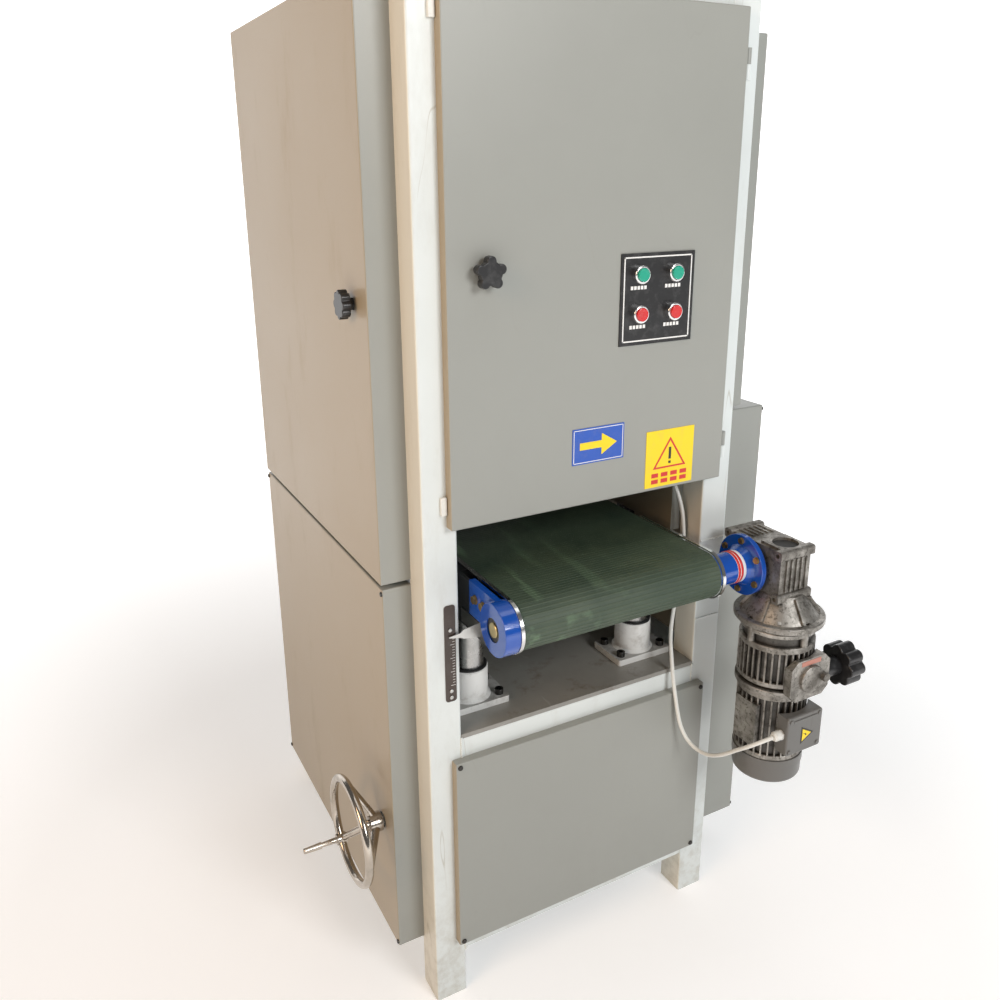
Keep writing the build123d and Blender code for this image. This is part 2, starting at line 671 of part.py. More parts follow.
def side_door(which):
    """Deep upper side door pan, hinged at the rear."""
    if which == "left":
        x0, x1, low, high, sign = -LEFT_DOOR_DEPTH, 0, SIDE_DOOR_BOTTOM, SIDE_DOOR_TOP, 1
    else:
        x0, x1, low, high, sign = FRAME_WIDTH, FRAME_WIDTH + RIGHT_DOOR_DEPTH, RIGHT_DOOR_BOTTOM, RIGHT_DOOR_TOP, -1
    door = pan(x0, x1, SIDE_FRONT, SIDE_REAR, low, high, "x", sign)
    stem = (SIDE_KNOB_Y, SIDE_KNOB_Z)
    door -= hole("x", stem, KNOB_STEM_RADIUS + KNOB_STEM_CLEARANCE, x0 - 1, x1 + 1)
    for side, centre, z in hinge_places():
        if side == which:
            door += hinge_sleeve_half(side, centre, z)
    return door


def knobs():
    """The three door knobs, latch bars pointing up, which is unlatched."""
    up = (0, 0, 1)
    front = Plane(origin=(FRONT_KNOB_X, -FRONT_DOOR_DEPTH, FRONT_KNOB_Z), x_dir=up, z_dir=(0, -1, 0))
    left = Plane(origin=(-LEFT_DOOR_DEPTH, SIDE_KNOB_Y, SIDE_KNOB_Z), x_dir=up, z_dir=(-1, 0, 0))
    right_x = FRAME_WIDTH + RIGHT_DOOR_DEPTH
    right = Plane(origin=(right_x, SIDE_KNOB_Y, SIDE_KNOB_Z), x_dir=up, z_dir=(1, 0, 0))
    reach = LATCH_REACH
    side_reach = SIDE_KNOB_Y - TUBE - 6
    keep("front_knob", front * latch_knob(25, 5, FRONT_DOOR_DEPTH - 4, reach))
    keep("left_knob", left * latch_knob(22.5, 8, LEFT_DOOR_DEPTH - 1, side_reach))
    keep("right_knob", right * latch_knob(22.5, 8, RIGHT_DOOR_DEPTH - 1, side_reach))


def control_plate():
    """Square plate with four button holes."""
    face = -FRONT_DOOR_DEPTH
    plate = block(PLATE_X, PLATE_X + PLATE_SIZE, face - PLATE_THICKNESS, face, PLATE_Z, PLATE_Z + PLATE_SIZE)
    for x in BUTTON_X:
        for z in BUTTON_Z:
            plate -= hole("y", (x, z), 11.1, face - PLATE_THICKNESS - 1, face + 1)
    return plate


def thin_plate(bounds):
    """Flat sign on the front door's face."""
    face = -FRONT_DOOR_DEPTH
    plate = block(bounds[0], bounds[1], face - SIGN_THICKNESS, face, bounds[2], bounds[3])
    return plate


def button_bezel(x, z):
    """Front ring with a sleeve through the plate and the door."""
    face = -FRONT_DOOR_DEPTH - PLATE_THICKNESS
    ring = bar("y", (x, z), BEZEL_RADIUS, face - 12, face)
    ring = fillet(ring.edges().group_by(Axis.Y)[0], 2)
    ring -= hole("y", (x, z), BUTTON_RADIUS + 0.5, face - 13, face - 4)
    ring += bar("y", (x, z), 11, face - 1, -2)
    return ring - hole("y", (x, z), 8.5, face - 13, 0)


def push_button(x, z):
    """Sprung button: a cap in the ring and a stem in the sleeve."""
    face = -FRONT_DOOR_DEPTH - PLATE_THICKNESS
    cap = bar("y", (x, z), BUTTON_RADIUS, face - 15, face - 4 - BUTTON_TRAVEL - 0.5)
    cap = fillet(cap.edges().group_by(Axis.Y)[0], 1.2)
    return cap + bar("y", (x, z), 8, face - 8, -2 - BUTTON_TRAVEL)


# ---------------------------------------------------------------- sanding head
def duct_z():
    """Height of the dust duct's centre, above the rear header rail."""
    return HEADER_BOTTOM + TUBE + 5 + DUCT_RADIUS


def cheek_plates():
    """Side plates between the head rails that carry the drum and the hold-down rollers."""
    plates = []
    for x in (CHEEK_LEFT, CHEEK_RIGHT):
        plate = block(x, x + CHEEK_THICKNESS, TUBE + 2, FRAME_DEPTH - TUBE - 2, CHEEK_BOTTOM, CHEEK_TOP)
        plate -= hole("x", (MIDDLE_Y, DRUM_Z), DRUM_SHAFT_RADIUS + 8, x - 1, x + CHEEK_THICKNESS + 1)
        for side in (-1, 1):
            centre = (MIDDLE_Y + side * HOLD_ROLLER_OFFSET, HOLD_ROLLER_Z)
            plate -= hole("x", centre, HOLD_JOURNAL_RADIUS + BEARING_FIT, x - 1, x + CHEEK_THICKNESS + 1)
        if x == CHEEK_RIGHT:
            end = CABLE_POINTS[-1]
            plate -= hole("x", (end[1], end[2]), 9, x - 1, x + CHEEK_THICKNESS + 1)
        plates.append(plate)
    return plates


def drum_bearings():
    """Square flanged bearing units outside the cheek plates."""
    units = []
    half = BEARING_HOUSING / 2
    centre = (MIDDLE_Y, DRUM_Z)
    right_face = CHEEK_RIGHT + CHEEK_THICKNESS
    for x0, x1 in ((CHEEK_LEFT - BEARING_HOUSING_DEPTH, CHEEK_LEFT), (right_face, right_face + BEARING_HOUSING_DEPTH)):
        unit = block(x0, x1, MIDDLE_Y - half, MIDDLE_Y + half, DRUM_Z - half, DRUM_Z + half)
        unit = fillet(unit.edges().filter_by(Axis.X), 12)
        unit += bar("x", centre, DRUM_SHAFT_RADIUS + 14, x0 - 6 if x0 < BELT_CENTRE else x0, x1 if x0 < BELT_CENTRE else x1 + 6)
        unit -= hole("x", centre, DRUM_SHAFT_RADIUS + BEARING_FIT, x0 - 10, x1 + 10)
        units.append(unit)
    return units


def sanding_drum():
    """Drum shell with two webs on its shaft, and the grooved pulley on the shaft's right end."""
    centre = (MIDDLE_Y, DRUM_Z)
    x0 = BELT_CENTRE - DRUM_WIDTH / 2
    x1 = BELT_CENTRE + DRUM_WIDTH / 2
    rim = DRUM_RADIUS - ABRASIVE
    drum = tube("x", centre, rim, rim - 10, x0, x1)
    for x in (x0 + 8, x1 - 20):
        web = bar("x", centre, rim - 9, x, x + 12)
        for i in range(4):
            angle = math.radians(45 + 90 * i)
            spot = (MIDDLE_Y + 39 * math.cos(angle), DRUM_Z + 39 * math.sin(angle))
            web -= hole("x", spot, 13, x - 1, x + 13)
        drum += web
    drum += bar("x", centre, DRUM_SHAFT_RADIUS, CHEEK_LEFT - BEARING_HOUSING_DEPTH - 10, PULLEY_START)
    drum += bar("x", centre, DRUM_SHAFT_RADIUS, PULLEY_START - 1, PULLEY_START + PULLEY_WIDTH + 6)
    return drum, grooved_pulley(centre, DRUM_PULLEY_RADIUS, DRUM_SHAFT_RADIUS)


def grooved_pulley(centre, radius, bore):
    """Pulley with one groove for each V-belt."""
    pulley = bar("x", centre, radius, PULLEY_START, PULLEY_START + PULLEY_WIDTH)
    for x in v_belt_centres():
        groove = V_BELT_WIDTH / 2 + 0.6
        pulley -= tube("x", centre, radius + 5, radius - V_BELT_HEIGHT - 0.6, x - groove, x + groove)
    return pulley - hole("x", centre, bore, PULLEY_START - 1, PULLEY_START + PULLEY_WIDTH + 1)


def v_belt_centres():
    """Middle of each V-belt along x."""
    middle = PULLEY_START + PULLEY_WIDTH / 2
    return [middle + (i - (V_BELTS - 1) / 2) * V_BELT_PITCH for i in range(V_BELTS)]


def drive_belts():
    """V-belts from the main motor's pulley up to the drum's."""
    low = (MAIN_MOTOR_Y, MAIN_MOTOR_Z)
    high = (MIDDLE_Y, DRUM_Z)
    belts = []
    for x in v_belt_centres():
        x0, x1 = x - V_BELT_WIDTH / 2, x + V_BELT_WIDTH / 2
        outer = loop(x0, x1, low, high, MOTOR_PULLEY_RADIUS, DRUM_PULLEY_RADIUS)
        inner = loop(
            x0 - 1, x1 + 1, low, high, MOTOR_PULLEY_RADIUS - V_BELT_HEIGHT, DRUM_PULLEY_RADIUS - V_BELT_HEIGHT
        )
        belts.append(outer - inner)
    return belts


def hold_roller(side):
    """Rubber-covered hold-down roller with its journals in the cheek plates."""
    centre = (MIDDLE_Y + side * HOLD_ROLLER_OFFSET, HOLD_ROLLER_Z)
    x0 = BELT_CENTRE - DRUM_WIDTH / 2
    x1 = BELT_CENTRE + DRUM_WIDTH / 2
    roller = bar("x", centre, HOLD_ROLLER_RADIUS, x0, x1)
    return roller + bar("x", centre, HOLD_JOURNAL_RADIUS, CHEEK_LEFT + 4, CHEEK_RIGHT + CHEEK_THICKNESS - 4)


def dust_hood():
    """Sheet hood over the drum, open below, and the duct out through the rear panel."""
    x0, x1 = CHEEK_LEFT + CHEEK_THICKNESS + 4, CHEEK_RIGHT - 4
    y0, y1 = MIDDLE_Y - HOOD_HALF_DEPTH, MIDDLE_Y + HOOD_HALF_DEPTH
    top = duct_z() + DUCT_RADIUS + 8
    hood = block(x0, x1, y0, y1, HOOD_BOTTOM, top)
    hood -= block(x0 + SHEET, x1 - SHEET, y0 + SHEET, y1 - SHEET, HOOD_BOTTOM - 1, top - SHEET)
    hood -= hole("x", (MIDDLE_Y, DRUM_Z), DRUM_SHAFT_RADIUS + 5, x0 - 1, x1 + 1)
    centre = (BELT_CENTRE, duct_z())
    pipe = DUCT_RADIUS - SPIGOT_STEP
    bore = pipe - DUCT_WALL
    hood -= hole("y", centre, bore, y1 - SHEET - 1, y1 + 1)
    end = FRAME_DEPTH + FRONT_COVER_PROUD + DUCT_LENGTH
    duct = tube("y", centre, pipe, bore, y1, end) + tube("y", centre, DUCT_RADIUS, bore, end - SPIGOT_LENGTH, end)
    return hood, duct


def main_motor():
    """Foot-mounted motor in the lower cabinet, with its fins, feet, end shields and fan cover."""
    centre = (MAIN_MOTOR_Y, MAIN_MOTOR_Z)
    right = FRAME_WIDTH - TUBE - 10
    left = right - 240
    body = bar("x", centre, MAIN_MOTOR_RADIUS - 10, left + 20, right - 16)
    for i in range(24):
        fin = block(left + 24, right - 20, -1.8, 1.8, MAIN_MOTOR_RADIUS - 14, MAIN_MOTOR_RADIUS)
        body += Pos(0, MAIN_MOTOR_Y, MAIN_MOTOR_Z) * Rot(15 * i, 0, 0) * fin
    body += bar("x", centre, MAIN_MOTOR_RADIUS - 3, left + 10, left + 24)
    body += bar("x", centre, MAIN_MOTOR_RADIUS - 3, right - 20, right - 8)
    body += bar("x", centre, 50, right - 9, right)
    body += bar("x", centre, MAIN_MOTOR_RADIUS - 6, left - 40, left + 11)
    base = BASE_RAIL_BOTTOM + TUBE
    for y in (MAIN_MOTOR_Y - 85, MAIN_MOTOR_Y + 45):
        body += block(left + 40, right - 40, y, y + 40, base, base + 14)
    body += block(left + 50, right - 50, MAIN_MOTOR_Y - 75, MAIN_MOTOR_Y + 75, base + 4, MAIN_MOTOR_Z - 60)
    body += block(left + 60, right - 60, MAIN_MOTOR_Y - 45, MAIN_MOTOR_Y + 45, MAIN_MOTOR_Z + 70, MAIN_MOTOR_Z + 118)
    return body - hole("x", centre, MAIN_SHAFT_RADIUS + BEARING_FIT, right - 90, right + 1)


def motor_rotor():
    """The main motor's shaft with its grooved pulley."""
    centre = (MAIN_MOTOR_Y, MAIN_MOTOR_Z)
    start = FRAME_WIDTH - TUBE - 10 - 88
    shaft = bar("x", centre, MAIN_SHAFT_RADIUS, start, PULLEY_START + PULLEY_WIDTH + 6)
    return shaft, grooved_pulley(centre, MOTOR_PULLEY_RADIUS, MAIN_SHAFT_RADIUS)


# ---------------------------------------------------------------- lifting gear
def lift_gearboxes():
    """Bevel box under the deck at the front and bevel jack under its middle, on hanging legs."""
    deck = DECK_TOP - DECK_THICKNESS
    half = BEVEL_RADIUS + 15
    boxes = []
    for y in (WHEEL_Y, MIDDLE_Y):
        box = block(LIFT_X - half, LIFT_X + half, y - half, y + half, WHEEL_Z - half, WHEEL_Z + half)
        box = fillet(box.edges().filter_by(Axis.Z), 6)
        inner = BEVEL_RADIUS + 5
        box -= block(LIFT_X - inner, LIFT_X + inner, y - inner, y + inner, WHEEL_Z - inner, WHEEL_Z + inner)
        for side in (-1, 1):
            x = LIFT_X + side * (half - 9)
            box += block(x - 8, x + 8, y - 22, y + 22, WHEEL_Z + half - 1, deck)
        box -= hole("y", (LIFT_X, WHEEL_Z), LIFT_SHAFT_RADIUS + BEARING_FIT, WHEEL_Y + 5, MIDDLE_Y - 5)
        boxes.append(box)
    boxes[0] -= hole("x", (WHEEL_Y, WHEEL_Z), WHEEL_SHAFT_RADIUS + BEARING_FIT, LIFT_X - half - 1, LIFT_X)
    boxes[1] -= hole("z", (LIFT_X, MIDDLE_Y), SCREW_RADIUS + 2, WHEEL_Z - half - 1, WHEEL_Z + half + 1)
    boxes[1] -= hole("z", (LIFT_X, MIDDLE_Y), 20 + BEARING_FIT, WHEEL_Z - half - 1, WHEEL_Z)
    return boxes


def bevel(axis, centre, apex, side):
    """Pitch cone of a mitre gear, on one side of the apex along its axis."""
    wide = BEVEL_RADIUS
    narrow = BEVEL_RADIUS * 0.6
    if side < 0:
        return bar(axis, centre, wide - BEVEL_GAP, apex - wide, apex - narrow, narrow - BEVEL_GAP)
    return bar(axis, centre, narrow - BEVEL_GAP, apex + narrow, apex + wide, wide - BEVEL_GAP)


def handwheel_shaft():
    """Shaft from the wheel's hub into the bevel box, with its mitre gear."""
    centre = (WHEEL_Y, WHEEL_Z)
    start = -LEFT_COVER_DEPTH - HUB_SETBACK - HUB_OUT + HUB_CAP
    shaft = bar("x", centre, WHEEL_SHAFT_RADIUS, start, LIFT_X - BEVEL_RADIUS * 0.6 - 1)
    return shaft + bevel("x", centre, LIFT_X, -1)


def lift_shaft():
    """Shaft from the bevel box back to the jack, with a mitre gear at each end."""
    centre = (LIFT_X, WHEEL_Z)
    start = WHEEL_Y + BEVEL_RADIUS * 0.6
    end = MIDDLE_Y - BEVEL_RADIUS * 0.6
    shaft = bar("y", centre, LIFT_SHAFT_RADIUS, start + 1, end - 1)
    return shaft + bevel("y", centre, WHEEL_Y, 1) + bevel("y", centre, MIDDLE_Y, -1)


def lift_nut():
    """Rotating nut of the lifting screw, with its mitre gear, held in the jack's floor."""
    centre = (LIFT_X, MIDDLE_Y)
    floor = WHEEL_Z - BEVEL_RADIUS - 5
    nut = bar("z", centre, 20, NUT_BOTTOM, WHEEL_Z - BEVEL_RADIUS + 1)
    nut += bar("z", centre, 24, floor + BEVEL_GAP, WHEEL_Z - BEVEL_RADIUS + 1)
    nut += bevel("z", centre, WHEEL_Z, -1)
    return nut - hole("z", centre, SCREW_RADIUS + ROD_FIT, WHEEL_Z - 100, WHEEL_Z + 10)


def handwheel():
    """Dished handwheel: rim, three spokes, hub, a dome nut and a plain rod handle on the rim."""
    centre = (WHEEL_Y, WHEEL_Z)
    plane_x = -LEFT_COVER_DEPTH - WHEEL_PLANE
    hub_x = -LEFT_COVER_DEPTH - HUB_SETBACK
    wheel = bar("x", centre, 18, hub_x - HUB_OUT, hub_x + 12)
    for angle in (-45, 75, 195):
        turn = math.radians(angle)
        out = (math.cos(turn), math.sin(turn))
        start = Vector(hub_x, WHEEL_Y + 10 * out[0], WHEEL_Z + 10 * out[1])
        end = Vector(plane_x, WHEEL_Y + WHEEL_RADIUS * out[0], WHEEL_Z + WHEEL_RADIUS * out[1])
        spoke = Plane(origin=start, z_dir=end - start) * Cone(
            8, 6, (end - start).length, align=(Align.CENTER, Align.CENTER, Align.MIN)
        )
        wheel += spoke
    boss = handle_centre()
    wheel += bar("x", boss, 10.5, plane_x - 9, plane_x + 9)
    section = Plane(origin=(plane_x, WHEEL_Y, WHEEL_Z + WHEEL_RADIUS), z_dir=(0, 1, 0)) * Circle(WHEEL_TUBE_RADIUS)
    wheel += revolve(section, Axis((plane_x, WHEEL_Y, WHEEL_Z), (1, 0, 0)), 360)
    wheel -= hole("x", centre, WHEEL_SHAFT_RADIUS, hub_x - HUB_OUT + HUB_CAP, hub_x + 13)
    handle = bar("x", boss, 4.5, plane_x - 9 - 30, plane_x - 9, 5.5)
    handle += bar("x", boss, 5.6, plane_x - HANDLE_LENGTH, plane_x - 9 - 29, 6.4)
    handle = fillet(handle.edges().group_by(Axis.X)[0], 2.5)
    nut = bar("x", centre, 9, hub_x - HUB_OUT - 8, hub_x - HUB_OUT)
    nut = fillet(nut.edges().group_by(Axis.X)[0], 4)
    return wheel, handle, nut


def handle_centre():
    """Place of the handle on the rim, in y and z."""
    turn = math.radians(-45)
    return (WHEEL_Y + WHEEL_RADIUS * math.cos(turn), WHEEL_Z + WHEEL_RADIUS * math.sin(turn))


# ---------------------------------------------------------------- conveyor table
def bed_plate():
    """Slab under the upper run of the belt, and the polished edge straps round the roller ends."""
    y0, y1 = FRONT_ROLLER_Y + BED_END, REAR_ROLLER_Y - BED_END
    top = ROLLER_Z + ROLLER_RADIUS
    slab = block(BELT_LEFT + 2, BELT_RIGHT - 2, y0, y1, top - BED_SLAB, top)
    pieces = [slab]
    inner = BELT_OUTER + 1.0
    outer = inner + STRAP_THICKNESS
    for side_x in (BELT_LEFT - BED_SIDE_GAP, BELT_RIGHT + 1):
        for y, sign in ((FRONT_ROLLER_Y, 1), (REAR_ROLLER_Y, -1)):
            x0, x1 = side_x, side_x + BED_SIDE_GAP - 1
            strap = tube("x", (y, ROLLER_Z), outer, inner, x0, x1)
            cut = sorted((y, y + sign * (outer + 1)))
            strap -= block(x0 - 1, x1 + 1, cut[0], cut[1], ROLLER_Z - outer - 1, ROLLER_Z + outer + 1)
            run = sorted((y, y + sign * 190))
            strap += block(x0, x1, run[0], run[1], ROLLER_Z + inner, ROLLER_Z + outer)
            pieces.append(strap)
    return pieces


def bed_frame():
    """Side plates, the cross members inside the belt and the crossbars under its lower run."""
    y0, y1 = FRONT_ROLLER_Y + BED_END, REAR_ROLLER_Y - BED_END
    top = ROLLER_Z + ROLLER_RADIUS - BED_SLAB
    pieces = [
        block(BED_LEFT, BED_LEFT + BED_SIDE, y0, y1, BED_SIDE_BOTTOM, top),
        block(BED_RIGHT - BED_SIDE, BED_RIGHT, y0, y1, BED_SIDE_BOTTOM, top),
    ]
    inner_left, inner_right = BED_LEFT + BED_SIDE, BED_RIGHT - BED_SIDE
    for y in (COLUMN_Y[0], MIDDLE_Y, COLUMN_Y[1]):
        pieces.append(block(inner_left, inner_right, y - 20, y + 20, top - 40, top))
        half = CROSSBAR_WIDTH / 2
        pieces.append(block(inner_left, inner_right, y - half, y + half, BED_SIDE_BOTTOM, CROSSBAR_TOP))
    return pieces


def column_rods():
    """Four guide rods under the crossbars."""
    rods = []
    for centre in columns():
        rod = bar("z", centre, ROD_RADIUS, ROD_BOTTOM, BED_SIDE_BOTTOM)
        rods.append(chamfer(rod.edges().group_by(Axis.Z)[0], 1.5))
    return rods


def bearing_arm(left, y, sign):
    """Arm bolted to the bed's side plate, with the boss that holds a roller bearing."""
    outer_left = BED_LEFT - ARM_PLATE
    x0, x1 = (outer_left, BED_LEFT) if left else (BED_RIGHT, BED_RIGHT + ARM_PLATE)
    boss_start = BED_LEFT + BED_SIDE - ARM_BOSS_THICKNESS
    if left:
        boss = (boss_start, boss_start + ARM_BOSS_THICKNESS)
    else:
        boss = (BED_RIGHT - BED_SIDE, BED_RIGHT - BED_SIDE + ARM_BOSS_THICKNESS)
    arm = bar("x", (y, ROLLER_Z), ARM_BOSS_RADIUS, boss[0], boss[1])
    arm = fillet(arm.edges().filter_by(GeomType.CIRCLE), 1.5)
    reach = sorted((y, y + sign * ARM_REACH))
    plate = block(x0, x1, reach[0], reach[1], ROLLER_Z - 18, ROLLER_Z + ARM_BOSS_RADIUS - 1)
    plate -= bar("x", (y, ROLLER_Z), ARM_BOSS_RADIUS - 3, x0 - 1, x1 + 1)
    arm += plate
    if left:
        seat = (boss[0] + 2, boss[1] + 1)
        rim = (boss[0] - 1, boss[1] + 1)
    else:
        seat = (boss[0] - 1, boss[1] - 2)
        rim = (boss[0] - 1, boss[1] + 1)
    arm -= hole("x", (y, ROLLER_Z), ARM_BEARING_RADIUS, seat[0], seat[1])
    arm -= hole("x", (y, ROLLER_Z), ARM_BEARING_RADIUS - 1.5, rim[0], rim[1])
    for step in (50, 78):
        arm -= hole("x", (y + sign * step, ROLLER_Z + 16), 4.2, x0 - 1, x1 + 1)
    return arm


def bearing_x(left):
    """Where a roller bearing sits along x."""
    if left:
        start = BED_LEFT + BED_SIDE - ARM_BOSS_THICKNESS + 2
        return start, start + ARM_BEARING_WIDTH
    end = BED_RIGHT - BED_SIDE + ARM_BOSS_THICKNESS - 2
    return end - ARM_BEARING_WIDTH, end


def roller_bearings():
    """Ball bearings of the two rollers, as closed rings."""
    rings = []
    for left in (True, False):
        for y in (FRONT_ROLLER_Y, REAR_ROLLER_Y):
            x0, x1 = bearing_x(left)
            rings.append(tube("x", (y, ROLLER_Z), ARM_BEARING_RADIUS, JOURNAL_BORE, x0, x1))
    return rings


def drive_bracket():
    """Blue casting on the right: arm plate, tube round the shaft and the gearbox flange."""
    centre = (FRONT_ROLLER_Y, ROLLER_Z)
    start = BED_RIGHT - BED_SIDE
    casting = bar("x", centre, BRACKET_TUBE_RADIUS, start, GEARBOX_LEFT - BRACKET_FLANGE + 1)
    flange_start = GEARBOX_LEFT - BRACKET_FLANGE
    casting += bar("x", centre, BRACKET_TUBE_RADIUS, flange_start - 12, flange_start + 1, BRACKET_TUBE_RADIUS + 9)
    flange = bar("x", centre, BRACKET_FLANGE_RADIUS, flange_start, GEARBOX_LEFT)
    casting += fillet(flange.edges().filter_by(GeomType.CIRCLE), 1)
    top = ROLLER_Z + BRACKET_TUBE_RADIUS - 6
    casting += block(
        BED_RIGHT, BED_RIGHT + ARM_PLATE, FRONT_ROLLER_Y, FRONT_ROLLER_Y + ARM_REACH, ROLLER_Z - 18, top
    )
    x0, x1 = bearing_x(False)
    casting -= hole("x", centre, ARM_BEARING_RADIUS, start - 1, x1)
    casting -= hole("x", centre, JOURNAL_RADIUS + 2, start - 1, GEARBOX_LEFT + 1)
    for angle in bracket_bolt_angles():
        spot = on_circle(centre, 46, angle)
        casting -= hole("x", spot, 4.2, flange_start - 15, GEARBOX_LEFT + 1)
    for step in (50, 78):
        spot = (FRONT_ROLLER_Y + step, ROLLER_Z + 10)
        casting -= hole("x", spot, 4.2, BED_RIGHT - 1, BED_RIGHT + ARM_PLATE + 1)
    return casting


def bracket_bolt_angles():
    """Six bolts round the gearbox flange, the first between the vertical and the front."""
    return [30 + 60 * i for i in range(6)]


def on_circle(centre, radius, angle):
    """Point on a circle about a centre, at an angle in degrees."""
    turn = math.radians(angle)
    return (centre[0] + radius * math.cos(turn), centre[1] + radius * math.sin(turn))


def hex_bolt(centre, face, direction, across, height, shank, length):
    """Hexagon bolt along x: the head stands on the face, the shank goes the other way."""
    plane = Plane(origin=(face, centre[0], centre[1]), z_dir=(direction, 0, 0))
    head = plane * extrude(RegularPolygon(across / math.sqrt(3), 6), height)
    washer = bar("x", centre, across * 0.62, *sorted((face, face + 1.2 * direction)))
    ends = sorted((face, face - length * direction))
    return head + washer + bar("x", centre, shank, ends[0], ends[1])


def drive_bolts():
    """Bolts of the gearbox flange and of the bearing arms."""
    centre = (FRONT_ROLLER_Y, ROLLER_Z)
    flange_start = GEARBOX_LEFT - BRACKET_FLANGE
    bolts = []
    for angle in bracket_bolt_angles():
        bolts.append(hex_bolt(on_circle(centre, 46, angle), flange_start, -1, 10, 4.5, 4, BRACKET_FLANGE))
    for y, sign in ((FRONT_ROLLER_Y, 1), (REAR_ROLLER_Y, -1)):
        for step in (50, 78):
            spot = (y + sign * step, ROLLER_Z + 16)
            bolts.append(hex_bolt(spot, BED_LEFT - ARM_PLATE, -1, 13, 5.5, 4, ARM_PLATE))
    for step in (50, 78):
        spot = (REAR_ROLLER_Y - step, ROLLER_Z + 16)
        bolts.append(hex_bolt(spot, BED_RIGHT + ARM_PLATE, 1, 13, 5.5, 4, ARM_PLATE))
        spot = (FRONT_ROLLER_Y + step, ROLLER_Z + 10)
        bolts.append(hex_bolt(spot, BED_RIGHT + ARM_PLATE, 1, 13, 5.5, 4, ARM_PLATE))
    return bolts


def conveyor_belt():
    """Endless belt round the two rollers."""
    first = (FRONT_ROLLER_Y, ROLLER_Z)
    second = (REAR_ROLLER_Y, ROLLER_Z)
    outer = loop(BELT_LEFT, BELT_RIGHT, first, second, BELT_OUTER, BELT_OUTER)
    return outer - loop(BELT_LEFT - 1, BELT_RIGHT + 1, first, second, BELT_INNER, BELT_INNER)


def table_roller(y, journal_left, journal_right):
    """Belt roller with its journals."""
    centre = (y, ROLLER_Z)
    roller = bar("x", centre, ROLLER_RADIUS, BELT_LEFT + 1, BELT_RIGHT - 1)
    shaft = bar("x", centre, JOURNAL_RADIUS, journal_left, journal_right)
    return roller + chamfer(shaft.edges().group_by(Axis.X)[0], 1)


def scale_pointer():
    """Bent sheet pointer from the bed's side plate to the scale."""
    z = POINTER_Z
    tip = 39
    outline = Polyline(
        (tip, z - 1), (tip + 20, z - 5), (BED_LEFT - 30, z - 8), (BED_LEFT, z - 13),
        (BED_LEFT, z + 13), (BED_LEFT - 30, z + 8), (tip + 20, z + 3), (tip, z + 1), close=True,
    )
    blade = extrude(Plane.XZ * make_face(outline), 1.6)
    leg = block(BED_LEFT - 2, BED_LEFT, -6, 60, z - 13, z + 13)
    return Pos(0, -4.4, 0) * blade + leg


# ---------------------------------------------------------------- drive unit
def gearbox_housing():
    """Worm gearbox: ribbed box with corner lugs, output hub, top recess, cone and round flange."""
    y0, y1 = WORM_Y - 32, FRONT_ROLLER_Y + 58
    z0, z1 = ROLLER_Z - GEARBOX_HALF + 4, ROLLER_Z + GEARBOX_HALF - 4
    x0, x1 = GEARBOX_LEFT + 9, GEARBOX_RIGHT - 5
    box = block(x0, x1, y0 + 4, y1 - 4, z0, z1)
    box = fillet(box.edges().filter_by(Axis.X), 7)
    for z in (z0 + 5, z1 - 5):
        for y in (y0 + 7, y1 - 9):
            lug = block(x0 - 6, x1 + 4, y - 9, y + 9, z - 9, z + 9)
            lug = fillet(lug.edges().filter_by(Axis.X), 5)
            lug -= hole("x", (y, z), 4, x0 - 8, x1 + 6)
            box += lug
    for i in range(5):
        x = x0 + 14 + i * 11.5
        box += block(x - 1.6, x + 1.6, y0 + 1, y0 + 6, z0 + 16, z1 - 16)
        box += block(x - 1.6, x + 1.6, FRONT_ROLLER_Y + 4, y1 - 18, z1 - 2, z1 + 2)
    box += bar("x", (FRONT_ROLLER_Y, ROLLER_Z), 38, GEARBOX_LEFT, x0 + 1)
    box += bar("x", (FRONT_ROLLER_Y, ROLLER_Z), 30, x1 - 1, GEARBOX_RIGHT)
    box += block(x0 + 6, x1 - 6, WORM_Y - 28, WORM_Y + 28, z1 - 1, z1 + 4)
    box -= hole("x", (FRONT_ROLLER_Y, ROLLER_Z), JOURNAL_BORE, GEARBOX_LEFT - 1, GEARBOX_RIGHT + 1)
    box -= hole("z", (WORM_X, WORM_Y), 23, z1 - 4, z1 + 6)
    cone_top = z0 + 6
    cone = bar("z", (WORM_X, WORM_Y), 70, MOTOR_FLANGE_Z + 10, cone_top, 38)
    box += cone
    flange = bar("z", (WORM_X, WORM_Y), MOTOR_FLANGE_RADIUS, MOTOR_FLANGE_Z, MOTOR_FLANGE_Z + 12)
    box += fillet(flange.edges().filter_by(GeomType.CIRCLE), 3)
    for i in range(4):
        web = block(30, 68, -3, 3, MOTOR_FLANGE_Z + 8, cone_top - 8)
        cut = Pos(74, 0, cone_top - 4) * Rot(0, 36, 0) * Box(30, 10, 60)
        box += Pos(WORM_X, WORM_Y, 0) * Rot(0, 0, 45 + 90 * i) * (web - cut)
    for i in range(4):
        spot = on_circle((WORM_X, WORM_Y), 65, 90 * i)
        box -= hole("z", spot, 5, MOTOR_FLANGE_Z - 1, MOTOR_FLANGE_Z + 14)
    return box


